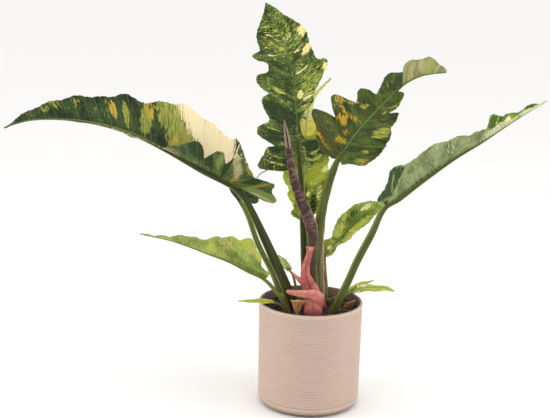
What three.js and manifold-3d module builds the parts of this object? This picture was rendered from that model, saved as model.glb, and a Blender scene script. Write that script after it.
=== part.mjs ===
// A potted philodendron with deeply lobed, colour-splashed leaves, in a ribbed round pot.
// Millimetres, +Z up. The origin is the middle of the pot's flat underside, and -Y is the front.

import * as THREE from "three";
import { mergeVertices } from "three/addons/utils/BufferGeometryUtils.js";
import Module from "manifold-3d";

const wasm = await Module();
wasm.setup();

// Pot: a straight round pot with fine ribs below a smooth rim band
const POT_HEIGHT = 154;
const POT_RIM_RADIUS = 75;
const POT_FOOT_RADIUS = 73.6;
const POT_WALL = 4.2;
const POT_FLOOR = 7;
const POT_CORNER_RADIUS = 12;
const POT_CORNER_STEPS = 4;
const POT_SIDES = 24;
const RIM_BAND = 6;
const RIM_ROUND = 1.6;
const RIB_PITCH = 3.25;
const RIB_DEPTH = 0.8;
const RIB_COUNT = 42;

// Soil: fills the pot to a little below its rim
const SOIL_TOP = 142;
const SOIL_BOTTOM = POT_FLOOR + 0.3;
const SOIL_RELIEF = 1.6;
const SOIL_RINGS = 3;
const SOIL_SIDES = 18;
// Room between the soil and the pot's inside
const SOIL_CLEARANCE = 0.7;

// Gap that pieces standing against each other keep
const GAP = 0.35;
// Length of the plain hole that a stalk stands in, and how much wider than the stalk it is
const HOLE_LENGTH = 22;
const HOLE_EASE = 0.55;

// Leaf blades
const BLADE_THICKNESS = 0.8;
const VEIN_LEAN = 0.45;
const VEIN_SPACING = 1.6;
const SAMPLES_PER_SPAN = 24;
const STALK_SIDES = 8;
// Rib under the blade: how far a stalk runs on under it, and its depth against its half width
const RIB_MERGE = 22;
const RIB_DEEP = 1.6;
// Rows of points across a blade, from its right margin to its left one, with the rib between
const RIBBED_ROWS = [-1, -0.55, -0.1, 0, 0.1, 0.55, 1];
const PLAIN_ROWS = [-1, -0.5, 0, 0.5, 1];
// Degrees that a blade half curls over this many millimetres out from its rib
const CURL = 3;
const CURL_REACH = 40;
// Phase of the right margin's waves against the left one's
const WAVE_PHASE = 1.9;
// Veins that leave the rib closer than this share one row of points
const CLOSEST_VEINS = 0.9;

const COLOURS = {
  pot: 0xd9c3b6,
  soil: 0x2b1d16,
  stem: 0x5c5a2e,
  darkLeaf: 0x2f5a2c,
  paleLeaf: 0x86a04c,
  pinkSheath: 0xd9756c,
  brownSheath: 0x4a2c33,
  drySheath: 0xa9713f,
};

function finish(colour, roughness) {
  return new THREE.MeshStandardMaterial({ color: colour, roughness, metalness: 0 });
}

// Solids from three.js geometries, and back
function solidOf(geometry) {
  geometry.deleteAttribute("normal");
  geometry.deleteAttribute("uv");
  const merged = mergeVertices(geometry, 1e-4);
  return new wasm.Manifold(
    new wasm.Mesh({
      numProp: 3,
      vertProperties: new Float32Array(merged.attributes.position.array),
      triVerts: new Uint32Array(merged.index.array),
    }),
  );
}

function geometryOf(solid) {
  const data = solid.getMesh();
  const geometry = new THREE.BufferGeometry();
  geometry.setAttribute("position", new THREE.BufferAttribute(data.vertProperties, 3));
  geometry.setIndex(new THREE.BufferAttribute(data.triVerts, 1));
  return geometry;
}

function largestBody(solid) {
  return solid.decompose().reduce((a, b) => (a.volume() > b.volume() ? a : b));
}

// Smooth change through evenly spaced values, for a share from 0 to 1
function easedValue(values, share) {
  const place = THREE.MathUtils.clamp(share, 0, 1) * (values.length - 1);
  const index = Math.min(Math.floor(place), values.length - 2);
  const part = THREE.MathUtils.smoothstep(place - index, 0, 1);
  return THREE.MathUtils.lerp(values[index], values[index + 1], part);
}

function vector(point) {
  return new THREE.Vector3(point[0], point[1], point[2]);
}

// A round or flattened stalk along a smooth curve, with its radii spaced evenly along it.
// grow makes the same stalk thicker and longer, for cutting room beside it.
function stalkSolid(stalk, grow = 0) {
  const { points, radii, flat = 1, wide = [1, 0, 0], sides = STALK_SIDES, steps = 10 } = stalk;
  const curve = new THREE.CatmullRomCurve3(points.map(vector), false, "centripetal");
  const form = new THREE.CylinderGeometry(1, 1, 1, sides, steps);
  const position = form.attributes.position;
  const across = new THREE.Vector3();
  const deep = new THREE.Vector3();
  for (let i = 0; i < position.count; i++) {
    const share = position.getY(i) + 0.5;
    const tangent = curve.getTangentAt(share);
    const centre = curve.getPointAt(share);
    centre.addScaledVector(tangent, grow * (share === 0 ? -1 : share === 1 ? 1 : 0));
    across.copy(vector(wide));
    across.addScaledVector(tangent, -across.dot(tangent)).normalize();
    deep.crossVectors(across, tangent);
    const radius = easedValue(radii, share);
    centre.addScaledVector(across, position.getX(i) * (radius + grow));
    centre.addScaledVector(deep, position.getZ(i) * (radius * flat + grow));
    position.setXYZ(i, centre.x, centre.y, centre.z);
  }
  return solidOf(form);
}

// A thick sheet: the grid of a plane, its points moved onto a curved surface, laid twice and
// joined round its border, so that both faces are split into triangles alike.
// place(column, row) gives the middle surface, and lower(column, row) any extra depth below it.
function sheetSolid(columns, rows, place, thickness, lower = () => 0) {
  const plane = new THREE.PlaneGeometry(1, 1, columns, rows);
  const count = (columns + 1) * (rows + 1);
  const middle = plane.attributes.position;
  for (let i = 0; i < count; i++) {
    const point = place(i % (columns + 1), Math.floor(i / (columns + 1)));
    middle.setXYZ(i, point.x, point.y, point.z);
  }
  plane.computeVertexNormals();
  const normal = plane.attributes.normal;
  const vertices = new Float32Array(count * 6);
  for (let i = 0; i < count; i++) {
    const down = thickness / 2 + lower(i % (columns + 1), Math.floor(i / (columns + 1)));
    for (let axis = 0; axis < 3; axis++) {
      const at = middle.getComponent(i, axis);
      const out = normal.getComponent(i, axis);
      vertices[i * 3 + axis] = at + (out * thickness) / 2;
      vertices[(count + i) * 3 + axis] = at - out * down;
    }
  }
  const faces = [];
  const grid = plane.index;
  for (let i = 0; i < grid.count; i += 3) {
    const [a, b, c] = [grid.getX(i), grid.getX(i + 1), grid.getX(i + 2)];
    faces.push(a, b, c, count + c, count + b, count + a);
  }
  const border = [];
  for (let i = 0; i < columns; i++) border.push(i);
  for (let i = 0; i < rows; i++) border.push(i * (columns + 1) + columns);
  for (let i = columns; i > 0; i--) border.push(rows * (columns + 1) + i);
  for (let i = rows; i > 0; i--) border.push(i * (columns + 1));
  border.forEach((a, i) => {
    const b = border[(i + 1) % border.length];
    faces.push(a, b, count + a, b, count + b, count + a);
  });
  const sheet = new THREE.BufferGeometry();
  sheet.setAttribute("position", new THREE.BufferAttribute(vertices, 3));
  sheet.setIndex(faces);
  return solidOf(sheet);
}

// The line that a leaf follows: its stalk up from the soil, then its midrib.
// Places on it are measured along the blade, so the stalk lies at negative lengths.
class LeafLine {
  constructor(stalk, midrib) {
    const points = [...stalk, ...midrib].map(vector);
    const curve = new THREE.CatmullRomCurve3(points, false, "centripetal");
    this.samples = curve.getPoints((points.length - 1) * SAMPLES_PER_SPAN);
    this.reach = [0];
    for (let i = 1; i < this.samples.length; i++) {
      this.reach.push(this.reach[i - 1] + this.samples[i].distanceTo(this.samples[i - 1]));
    }
    this.stalkLength = this.reach[stalk.length * SAMPLES_PER_SPAN];
    this.length = this.reach.at(-1) - this.stalkLength;
  }

  pointAt(along) {
    const wanted = THREE.MathUtils.clamp(along + this.stalkLength, 0, this.reach.at(-1));
    let i = this.reach.findIndex((reach) => reach >= wanted);
    i = Math.max(i, 1);
    const part = (wanted - this.reach[i - 1]) / (this.reach[i] - this.reach[i - 1]);
    return this.samples[i - 1].clone().lerp(this.samples[i], part);
  }

  tangentAt(along) {
    return this.pointAt(along + 2).sub(this.pointAt(along - 2)).normalize();
  }
}

// A point of a blade, from its distance along the midrib and out from it on one side.
// The blade's face, the fold of each half and its curl change evenly from its base to its tip.
function bladePoint(leaf, line, side, along, out, lift) {
  const held = THREE.MathUtils.clamp(along, 0, line.length);
  const share = held / line.length;
  const tangent = line.tangentAt(held);
  const point = line.pointAt(held).addScaledVector(tangent, along - held);
  const face = new THREE.Vector3(
    easedValue(leaf.face.map((value) => value[0]), share),
    easedValue(leaf.face.map((value) => value[1]), share),
    easedValue(leaf.face.map((value) => value[2]), share),
  );
  face.addScaledVector(tangent, -face.dot(tangent)).normalize();
  const left = new THREE.Vector3().crossVectors(face, tangent);
  const fold = THREE.MathUtils.degToRad(easedValue(side > 0 ? leaf.foldLeft : leaf.foldRight, share));
  const turn = THREE.MathUtils.degToRad(CURL) / CURL_REACH;
  const across = (Math.sin(fold + turn * out) - Math.sin(fold)) / turn;
  const up = (Math.cos(fold) - Math.cos(fold + turn * out)) / turn;
  point.addScaledVector(left, side * across);
  return point.addScaledVector(face, up + lift);
}

// Where the lateral vein that ends at each outline point leaves the midrib
function veinStarts(outline, length) {
  const starts = [];
  outline.forEach(([along, out], i) => {
    const lowest = i === 0 ? 0 : starts[i - 1] + VEIN_SPACING;
    const highest = length - VEIN_SPACING * (outline.length - i);
    const wanted = Math.round((along - VEIN_LEAN * out) / VEIN_SPACING) * VEIN_SPACING;
    starts.push(Math.min(Math.max(wanted, lowest), highest));
  });
  return starts;
}

// The outline's point, as along, out and lift, for a vein that leaves the midrib at start
function outlineAt(outline, starts, length, start) {
  const ends = [...outline, [length, 0.6]];
  const knots = [...starts, length];
  let i = knots.findIndex((knot) => knot > start) - 1;
  if (i === -2) i = knots.length - 2;
  i = Math.max(i, 0);
  const part = THREE.MathUtils.clamp((start - knots[i]) / (knots[i + 1] - knots[i]), 0, 1);
  const near = [ends[Math.max(i - 1, 0)], ends[i], ends[i + 1], ends[Math.min(i + 2, ends.length - 1)]];
  return [0, 1, 2].map((axis) => {
    const [a, b, c, d] = near.map((end) => end[axis] ?? 0);
    const slopeB = (c - a) / 2;
    const slopeC = (d - b) / 2;
    const square = part * part;
    const cube = square * part;
    return (
      b * (2 * cube - 3 * square + 1) +
      c * (3 * square - 2 * cube) +
      slopeB * (cube - 2 * square + part) +
      slopeC * (cube - square)
    );
  });
}

// One leaf: its blade, the rib below it, and its stalk down into the soil
function leafSolid(leaf) {
  const line = new LeafLine(leaf.stalk, leaf.midrib);
  const starts = { left: veinStarts(leaf.left, line.length), right: veinStarts(leaf.right, line.length) };
  const columns = [0, ...starts.left, ...starts.right, line.length]
    .sort((a, b) => a - b)
    .filter((start, i, all) => i === 0 || start - all[i - 1] > CLOSEST_VEINS || i === all.length - 1);
  const ribRadius = (start) => THREE.MathUtils.lerp(leaf.ribRadius, 0.5, start / line.length);
  const across = leaf.small || leaf.plain ? PLAIN_ROWS : RIBBED_ROWS;
  const place = (column, row) => {
    const start = columns[column];
    const side = across[row] > 0 ? 1 : -1;
    const outline = side > 0 ? leaf.left : leaf.right;
    const knots = side > 0 ? starts.left : starts.right;
    const [along, out, lift] = outlineAt(outline, knots, line.length, start);
    const share = Math.abs(across[row]);
    const forward = (along - start) * share * (0.8 + 0.2 * share);
    const phase = side > 0 ? 0 : WAVE_PHASE;
    const wave = leaf.wave * Math.sin((start / leaf.waveLength) * 2 * Math.PI + phase);
    return bladePoint(leaf, line, side, start + forward, out * share, (lift + wave) * share * share);
  };
  const ribDepth = (column, row) => (across[row] === 0 ? RIB_DEEP * ribRadius(columns[column]) : 0);
  const blade = sheetSolid(columns.length - 1, across.length - 1, place, BLADE_THICKNESS, ribDepth);
  const stalk = stalkSolid(stalkOf(leaf, line));
  return largestBody(blade.add(stalk));
}

function stalkOf(leaf, line = new LeafLine(leaf.stalk, leaf.midrib)) {
  const count = leaf.small ? 6 : 10;
  const total = line.stalkLength + (leaf.small ? RIB_MERGE * 0.4 : RIB_MERGE);
  const points = [];
  for (let i = 0; i <= count; i++) {
    points.push(line.pointAt((total * i) / count - line.stalkLength).toArray());
  }
  const sides = leaf.small ? 6 : STALK_SIDES;
  return { points, radii: leaf.stalkRadii, wide: [0, 1, 0], steps: count, sides };
}

// Leaves, from largest to smallest. An outline runs from the stalk round to the tip on its side
// and lists lobe tips and the bays between them: along the midrib, out from it, lift, in mm.
const LEAVES = {
  leaf_left_large: {
    stalk: [[-16, -4, 128], [-40, -10, 189], [-65, -14, 249], [-83, -17, 286], [-97, -18, 309]],
    midrib: [
      [-119, -20, 323], [-161, -26, 346], [-205, -34, 373.5], [-245, -42, 394.5], [-283, -50, 409],
      [-317, -56, 416], [-363, -60, 419], [-396, -62, 416], [-425, -62, 407],
    ],
    face: [[0.15, -0.25, 0.95], [0.1, -0.3, 0.95], [0, -0.35, 0.93], [-0.1, -0.5, 0.85], [-0.1, -0.6, 0.8]],
    foldLeft: [66, 64, 54, 33, 34, 38, 41, 44, 47],
    foldRight: [50, 52, 46, 36, 30],
    stalkRadii: [7.6, 6.9, 6.6, 6.4, 6.2, 5.2, 1.6],
    ribRadius: 3.6,
    left: [
      [-14, 8], [-40, 12], [-60, 20], [-61, 30], [-47, 38], [-42, 52], [-20, 42], [-4, 40], [7, 53],
      [19, 64], [25, 48], [40, 56], [49, 40], [60, 54], [82, 68], [92, 58], [90, 40], [104, 42],
      [124, 46], [146, 44], [172, 47], [200, 38], [228, 37], [258, 31], [288, 23], [314, 11.5],
    ],
    right: [
      [-10, 9], [-28, 15], [-24, 28], [-6, 38], [4, 48], [18, 64], [26, 60], [46, 64], [80, 66], [97, 69],
      [113, 68], [121, 62], [138, 55], [152, 45], [168, 45], [183, 49], [198, 40], [214, 39],
      [230, 39], [256, 31], [282, 21], [308, 9],
    ],
    wave: 2, waveLength: 38, colour: COLOURS.darkLeaf,
  },
  leaf_left_rear: {
    stalk: [[-32, 10, 128], [-55, 16, 186], [-78, 20, 232], [-95.5, 24, 270]],
    midrib: [
      [-107, 28, 295], [-126, 42, 322], [-154, 64, 348], [-188, 90, 368], [-224, 118, 380],
      [-258, 144, 384], [-284, 166, 378],
    ],
    face: [[0.2, -0.1, 1], [0.1, -0.15, 1], [0, -0.15, 1]],
    foldLeft: [24, 20, 14],
    foldRight: [22, 20, 14],
    stalkRadii: [5.2, 4.5, 4.3, 4.2, 4, 3.2, 1.2],
    ribRadius: 2.4,
    left: [
      [-4, 8], [-14, 18], [-8, 32], [10, 34], [20, 26], [34, 40], [50, 43], [58, 32], [74, 44],
      [92, 44], [102, 33], [118, 40], [140, 35], [164, 30], [190, 20], [214, 9],
    ],
    right: [
      [-4, 8], [-14, 15], [-16, 26], [-6, 33], [6, 29], [22, 40], [42, 45], [52, 34], [66, 45],
      [86, 45], [96, 34], [114, 41], [138, 37], [166, 29], [192, 19], [216, 8],
    ],
    wave: 3, waveLength: 34, colour: COLOURS.darkLeaf, plain: true,
  },
  leaf_centre_tall: {
    stalk: [[-7, 6, 128], [-11, 8, 197], [-15, 12, 270], [-18, 16, 313], [-21, 20, 342]],
    midrib: [
      [-24, 26, 370], [-26, 34, 402], [-30, 44, 443], [-35, 54, 479], [-46, 62, 512],
      [-60, 70, 542], [-75, 76, 573],
    ],
    face: [[0, -1, 0.1], [0.05, -1, 0.15], [0.1, -1, 0.2], [0.1, -1, 0.25]],
    foldLeft: [20, 14, 10, 6],
    foldRight: [8, 13, 10, 6],
    stalkRadii: [5.6, 4.8, 4.5, 4.4, 4.2, 3.6, 1.3],
    ribRadius: 2.8,
    left: [
      [-8, 8], [-28, 17], [-27, 46], [-19, 62], [-2, 51], [6, 46], [3, 31], [12, 46], [23, 60],
      [35, 59], [42, 43], [48, 42], [61, 48], [76, 49.5], [83, 37], [87, 46], [101, 55], [116, 52.5],
      [118, 38], [126, 33], [135, 35], [144, 48], [153, 50], [157, 37], [168, 36], [184, 30],
      [204, 11],
    ],
    right: [
      [-8, 8], [-27, 13], [-19, 24, -2], [-8, 37, -6], [14, 30, -2], [16, 16], [26, 9], [38, 7], [52, 13],
      [66, 25], [76, 26], [84, 31], [99, 41], [110, 50], [119, 51], [122, 38], [138, 35],
      [156, 36], [168, 34], [186, 21], [204, 10],
    ],
    wave: 2.5, waveLength: 29, colour: COLOURS.darkLeaf,
  },
  leaf_centre_rear: {
    stalk: [[-2, 24, 128], [-5, 30, 190], [-7, 38, 234]],
    midrib: [
      [-11, 46, 262], [-12, 52, 290], [-13, 58, 334], [-13, 64, 370], [-12, 70, 406],
      [-5, 76, 436], [22, 84, 466],
    ],
    face: [[0, -1, 0.1], [0, -1, 0.15], [0, -1, 0.2], [0, -1, 0.25]],
    foldLeft: [16, 12, 10, 6],
    foldRight: [16, 12, 10, 6],
    stalkRadii: [4.6, 4, 3.7, 3.5, 2.8, 1.1],
    ribRadius: 2.1,
    left: [
      [0, 8], [9, 21], [19, 17], [36, 26], [46, 24], [60, 32], [76, 31], [84, 25], [98, 34],
      [116, 31], [124, 22], [140, 28], [160, 22], [184, 16], [204, 7],
    ],
    right: [
      [0, 7], [14, 18], [32, 27], [44, 24], [60, 33], [72, 34], [79, 30], [92, 33], [103, 25],
      [126, 20], [141, 13], [154, 9], [168, 8], [186, 8], [206, 5],
    ],
    wave: 2, waveLength: 30, colour: COLOURS.paleLeaf, plain: true,
  },
  leaf_right_middle: {
    stalk: [[12, -3, 128], [8, 2, 199], [7, 6, 243], [11, 10, 292], [20, 14, 328]],
    midrib: [
      [33, 18, 359], [45, 22, 377], [58, 28, 396], [86, 40, 426], [107, 48, 447], [124, 54, 464],
      [151, 58, 477], [186, 58, 482],
    ],
    face: [
      [-0.15, -0.9, 0.35], [-0.15, -0.9, 0.35], [-0.15, -0.88, 0.4], [-0.2, -0.8, 0.5],
      [-0.25, -0.7, 0.6], [-0.3, -0.35, 0.85], [-0.3, 0.3, 0.9], [-0.25, 0.4, 0.9], [-0.2, 0.45, 0.9],
    ],
    foldLeft: [14, 14, 12, 12, 14, 30, 55, 58, 58],
    foldRight: [14, 14, 12, 12, 14, 30, 44, 46, 46],
    stalkRadii: [8.4, 7.6, 7.3, 7.1, 6.8, 5.4, 1.7],
    ribRadius: 3.4,
    left: [
      [-6, 10], [-8, 24], [-11, 44], [2, 52], [14, 50], [28, 58], [38, 68], [43, 54], [46, 38],
      [51, 48], [60, 59], [70, 51], [76, 40], [80, 30], [90, 37], [98, 40], [105, 31], [107, 18],
      [117, 22], [128, 26], [146, 25], [168, 25], [190, 14],
    ],
    right: [
      [-4, 10], [4, 22], [12, 38], [22, 45], [34, 48], [54, 51], [58, 47], [68, 48], [77, 43],
      [84, 36], [103, 38], [95, 20], [117, 31], [126, 43], [128, 20], [140, 28], [156, 29],
      [170, 30], [182, 28], [193, 20],
    ],
    wave: 3, waveLength: 30, colour: COLOURS.darkLeaf,
  },
  leaf_right_large: {
    stalk: [[25, -21, 128], [49.5, -30, 189], [63, -36, 226], [80.5, -42, 266]],
    midrib: [
      [97, -48, 306], [114, -52, 320], [146, -60, 349], [188, -72, 385], [219, -82, 408],
      [248, -92, 432], [275, -100, 453], [298, -106, 469],
    ],
    face: [[-0.5, 0.15, 0.85], [-0.5, 0.1, 0.85], [-0.5, 0.1, 0.85], [-0.5, 0, 0.85]],
    foldLeft: [44, 38, 14, 12, 12, 26, 40, 30, 20],
    foldRight: [50, 50, 46, 34],
    stalkRadii: [6.6, 5.8, 5.5, 5.4, 5.3, 4.4, 1.5],
    ribRadius: 3.2,
    left: [
      [2, 6], [7, 13], [12, 17], [18, 25], [22, 38], [30, 50], [41, 41], [54, 46], [72, 48],
      [84, 39], [100, 45], [124, 43], [148, 34], [164, 26], [173, 21], [182, 26], [190, 32],
      [197, 28], [205, 17], [220, 10], [240, 8],
    ],
    right: [
      [0, 8], [2, 18], [10, 25], [20, 31], [35, 42], [46, 49], [60, 50], [69, 45], [83, 41],
      [96, 45], [112, 44], [128, 39], [148, 33], [164, 24], [180, 19], [198, 11], [218, 8], [240, 6],
    ],
    wave: 2.5, waveLength: 33, colour: COLOURS.paleLeaf,
  },
  leaf_right_inner: {
    stalk: [[20, 25, 128], [19, 27, 169], [18, 30, 194]],
    midrib: [
      [20, 34, 212], [27, 35, 222], [42, 38, 239], [59, 42, 258], [78, 44, 275], [101, 46, 286],
      [112, 47, 290],
    ],
    face: [[-0.3, -0.85, 0.35], [-0.3, -0.8, 0.5], [-0.3, -0.7, 0.6]],
    foldLeft: [16, 14, 10],
    foldRight: [16, 20, 20],
    stalkRadii: [2.8, 2.4, 2.2, 1.8],
    ribRadius: 1.3,
    left: [
      [-2, 6], [6, 10], [16, 15], [25, 10], [35, 15], [52, 21], [68, 21], [84, 19], [100, 13],
    ],
    right: [
      [-1, 6], [8, 12], [17, 10], [25, 8], [42, 16], [58, 15], [77, 19], [94, 14], [108, 6],
    ],
    wave: 1, waveLength: 22, colour: COLOURS.paleLeaf, small: true,
  },
  leaf_left_lower: {
    stalk: [[-27, -14, 128], [-41, -17, 160], [-57, -20, 179]],
    midrib: [
      [-68, -24, 191], [-92, -30, 205], [-119, -38, 221], [-146, -46, 233], [-172, -54, 245],
      [-198, -60, 255], [-232, -66, 263],
    ],
    face: [[0.2, 0.1, 0.95], [0.2, 0.1, 0.95], [0.2, 0.1, 0.95]],
    foldLeft: [46, 46, 40],
    foldRight: [12, 12, 12],
    stalkRadii: [4, 3.3, 2.8, 1],
    ribRadius: 1.9,
    left: [
      [0, 7], [3, 18], [9, 17], [20, 25], [25, 33], [34, 43], [48, 52], [62, 61], [70, 53],
      [80, 51], [92, 47], [104, 37], [115, 26], [129, 24], [141, 20], [155, 11], [170, 6],
    ],
    right: [
      [-2, 8], [-6, 20], [8, 28], [20, 25], [34, 40], [50, 49], [64, 42], [78, 47], [96, 40],
      [114, 30], [132, 25], [152, 13], [170, 6],
    ],
    wave: 1.2, waveLength: 26, colour: COLOURS.paleLeaf,
  },
  leaf_left_sliver: {
    stalk: [[-32, -21, 128], [-41, -24, 152]],
    midrib: [[-54, -27, 161], [-75, -29, 164], [-92, -31, 163], [-106, -33, 161]],
    face: [[0, -0.25, 1], [0, -0.3, 1]],
    foldLeft: [20, 10],
    foldRight: [20, 10],
    stalkRadii: [1.9, 1.6, 1.4],
    ribRadius: 0.8,
    left: [[4, 4], [16, 7], [30, 6], [42, 3]],
    right: [[4, 4], [16, 7], [30, 6], [42, 3]],
    wave: 0.4, waveLength: 20, colour: COLOURS.paleLeaf, small: true,
  },
  leaf_right_small: {
    stalk: [[31, 18, 128], [47, 18, 151]],
    midrib: [[58, 17, 161], [72, 16, 168], [90, 14, 171], [109, 12, 171], [122, 10, 167]],
    face: [[0, -0.5, 0.85], [0, -0.5, 0.85]],
    foldLeft: [20, 10],
    foldRight: [20, 10],
    stalkRadii: [2.4, 2, 1.7],
    ribRadius: 1,
    left: [[2, 4], [14, 9], [30, 10], [46, 9], [58, 5]],
    right: [[2, 4], [14, 8], [30, 9], [46, 8], [58, 4]],
    wave: 0.6, waveLength: 24, colour: COLOURS.paleLeaf, small: true,
  },
  leaf_right_sliver: {
    stalk: [[33, 31, 128], [44, 34, 148]],
    midrib: [[54, 37, 156], [68, 44, 162], [82, 48, 167], [94, 52, 170]],
    face: [[0, -0.4, 0.9], [0, -0.4, 0.9]],
    foldLeft: [16, 8],
    foldRight: [16, 8],
    stalkRadii: [1.8, 1.5, 1.3],
    ribRadius: 0.8,
    left: [[3, 3], [12, 5], [26, 5], [36, 2.5]],
    right: [[3, 3], [12, 5], [26, 5], [36, 2.5]],
    wave: 0.3, waveLength: 20, colour: COLOURS.paleLeaf, small: true,
  },
  leaf_small_curled: {
    stalk: [[-19, 22, 128], [-21, 24, 160], [-27, 27, 184]],
    midrib: [[-31, 30, 192], [-38, 42, 198], [-45, 58, 200], [-51, 76, 198]],
    face: [[-0.2, -0.3, 1], [-0.2, -0.3, 1]],
    foldLeft: [34, 20],
    foldRight: [34, 20],
    stalkRadii: [2.4, 2, 1.8],
    ribRadius: 1,
    left: [[0, 5], [10, 7.5], [26, 8], [42, 5]],
    right: [[0, 5], [10, 7.5], [26, 8], [42, 5]],
    wave: 0.5, waveLength: 22, colour: COLOURS.paleLeaf, small: true,
  },
};

// Sheaths that are closed rolls: each is a flattened tapering tube, or two of them joined
const ROLLED_SHEATHS = {
  sheath_brown_tall: {
    rolls: [
      {
        points: [
          [3, -14, 136], [1, -13, 203], [0, -12, 239], [3, -12, 261], [-5, -12, 275], [-17, -14, 303],
          [-28, -16, 334], [-36, -18, 367], [-41, -18, 399], [-45, -18, 420],
        ],
        radii: [5, 5, 5, 5.2, 6, 5.8, 5.6, 5, 3.6, 0.8], flat: 0.75, steps: 22,
      },
    ],
    colour: COLOURS.brownSheath,
  },
  sheath_pink_upright: {
    rolls: [
      {
        points: [
          [4, -27, 136], [4, -27, 162], [0, -27, 180], [-6, -28, 198], [-9, -28, 213],
          [-7, -30, 229], [-5, -32, 243],
        ],
        radii: [10, 12.4, 10.6, 7, 5.4, 5.2, 6.2], flat: 0.5, steps: 12,
      },
      {
        points: [[-8, -28, 188], [-16, -29, 193], [-23, -31, 201], [-32, -33, 209]],
        radii: [5, 4, 2.4, 0.7], flat: 0.6, steps: 4, sides: 6,
      },
    ],
    colour: COLOURS.pinkSheath,
  },
  sheath_pink_side: {
    rolls: [
      {
        points: [[5, -42, 134], [5, -42, 146], [6, -41, 156], [9, -40, 170]],
        radii: [8, 11, 11, 7], flat: 0.62, steps: 6,
      },
      {
        points: [[15, -39, 174], [6, -41, 174], [-5, -43, 175], [-16, -45, 178], [-33, -48, 182]],
        radii: [5, 7.5, 6.4, 4, 0.9], flat: 0.62, wide: [0, 0, 1], steps: 8,
      },
    ],
    colour: COLOURS.pinkSheath,
  },
  sheath_pink_strip: {
    rolls: [
      {
        points: [[20, 3, 136], [15.6, 7.6, 199], [14.6, 11.6, 243], [18.6, 15.4, 290], [25, 17, 316]],
        radii: [2.4, 2.4, 2.2, 1.8, 0.7], flat: 0.7, steps: 10, sides: 6,
      },
    ],
    colour: COLOURS.pinkSheath,
  },
};

// Dried sheaths: thin bent scraps, each a small sheet from its foot to its free edge.
// foot and top are the two ends of its lower and upper edge, and bulge bows it to the front.
const DRY_SHEATHS = {
  sheath_dry_triangle: {
    foot: [[-24, -44, 138], [-19, -44, 138]],
    top: [[-31, -38, 168], [-7, -36, 166]],
    bulge: 5,
  },
  sheath_dry_curl: {
    foot: [[24, 12, 138], [38, 16, 138]],
    top: [[19, 10, 152], [40, 20, 157]],
    bulge: 4,
  },
  sheath_dry_roll: {
    foot: [[47, 4, 138], [58, 6, 138]],
    top: [[50, 3, 150], [66, 8, 154]],
    bulge: 3,
  },
  sheath_dry_left: {
    foot: [[-34, -33, 138], [-27, -36, 138]],
    top: [[-45, -27, 178], [-39, -29, 176]],
    bulge: 2.5,
  },
};
const DRY_THICKNESS = 1;
const DRY_STEPS = 4;

// grow makes the same scrap thicker and wider all round, for cutting room beside it
function drySolid({ foot, top, bulge }, grow = 0) {
  const [footA, footB] = foot.map(vector);
  const [topA, topB] = top.map(vector);
  const wider = grow / footA.distanceTo(footB);
  const taller = grow / footA.distanceTo(topA);
  const place = (column, row) => {
    const u = THREE.MathUtils.mapLinear(column, 0, DRY_STEPS, -wider, 1 + wider);
    const v = THREE.MathUtils.mapLinear(row, 0, DRY_STEPS, -taller, 1 + taller);
    const low = footA.clone().lerp(footB, u);
    const high = topA.clone().lerp(topB, u);
    const point = high.lerp(low, v);
    point.y -= bulge * Math.sin(Math.PI * u) * (1 - 0.4 * v);
    return point;
  };
  return sheetSolid(DRY_STEPS, DRY_STEPS, place, DRY_THICKNESS + 2 * grow);
}

// Short stems that the stalks stand round
const STEMS = {
  stem_left: { points: [[-31, 2, 118], [-33, 2, 140], [-34, 3, 152]], radii: [6, 7.5, 7, 4], steps: 4 },
  stem_centre: { points: [[1, 12, 118], [0, 12, 140], [-1, 12, 156]], radii: [6, 7.5, 7.5, 4.5], steps: 4 },
  stem_right: { points: [[41, -6, 118], [40, -7, 138], [38, -8, 150]], radii: [6, 7, 6.5, 4], steps: 4 },
};

// Pot
function potSolid() {
  const profile = [new THREE.Vector2(0, 0)];
  profile.push(new THREE.Vector2(POT_FOOT_RADIUS - POT_CORNER_RADIUS, 0));
  for (let i = 1; i <= POT_CORNER_STEPS; i++) {
    const turn = (Math.PI / 2) * (i / POT_CORNER_STEPS);
    const out = POT_FOOT_RADIUS - POT_CORNER_RADIUS + POT_CORNER_RADIUS * Math.sin(turn);
    profile.push(new THREE.Vector2(out, POT_CORNER_RADIUS * (1 - Math.cos(turn))));
  }
  const ribTop = POT_HEIGHT - RIM_BAND;
  const ribBottom = ribTop - RIB_COUNT * RIB_PITCH;
  const radiusAt = (z) => THREE.MathUtils.lerp(POT_FOOT_RADIUS, POT_RIM_RADIUS, z / POT_HEIGHT);
  for (let i = 0; i < RIB_COUNT; i++) {
    const low = ribBottom + i * RIB_PITCH;
    if (low < POT_CORNER_RADIUS + 0.5) continue;
    profile.push(new THREE.Vector2(radiusAt(low) - RIB_DEPTH, low));
    profile.push(new THREE.Vector2(radiusAt(low + RIB_PITCH / 2), low + RIB_PITCH / 2));
  }
  profile.push(new THREE.Vector2(radiusAt(ribTop) - RIB_DEPTH, ribTop));
  profile.push(new THREE.Vector2(POT_RIM_RADIUS, ribTop + 1));
  profile.push(new THREE.Vector2(POT_RIM_RADIUS, POT_HEIGHT - RIM_ROUND));
  profile.push(new THREE.Vector2(POT_RIM_RADIUS - RIM_ROUND, POT_HEIGHT));
  profile.push(new THREE.Vector2(POT_RIM_RADIUS - POT_WALL, POT_HEIGHT - RIM_ROUND));
  profile.push(new THREE.Vector2(POT_FOOT_RADIUS - POT_WALL, POT_CORNER_RADIUS + POT_FLOOR));
  profile.push(new THREE.Vector2(POT_FOOT_RADIUS - POT_CORNER_RADIUS, POT_FLOOR));
  profile.push(new THREE.Vector2(0, POT_FLOOR));
  return solidOf(uprightLathe(profile, POT_SIDES));
}

// LatheGeometry turns about Y, so it is laid over to stand on Z
function uprightLathe(profile, sides) {
  const lathe = new THREE.LatheGeometry(profile, sides);
  lathe.rotateX(Math.PI / 2);
  return lathe;
}

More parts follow.
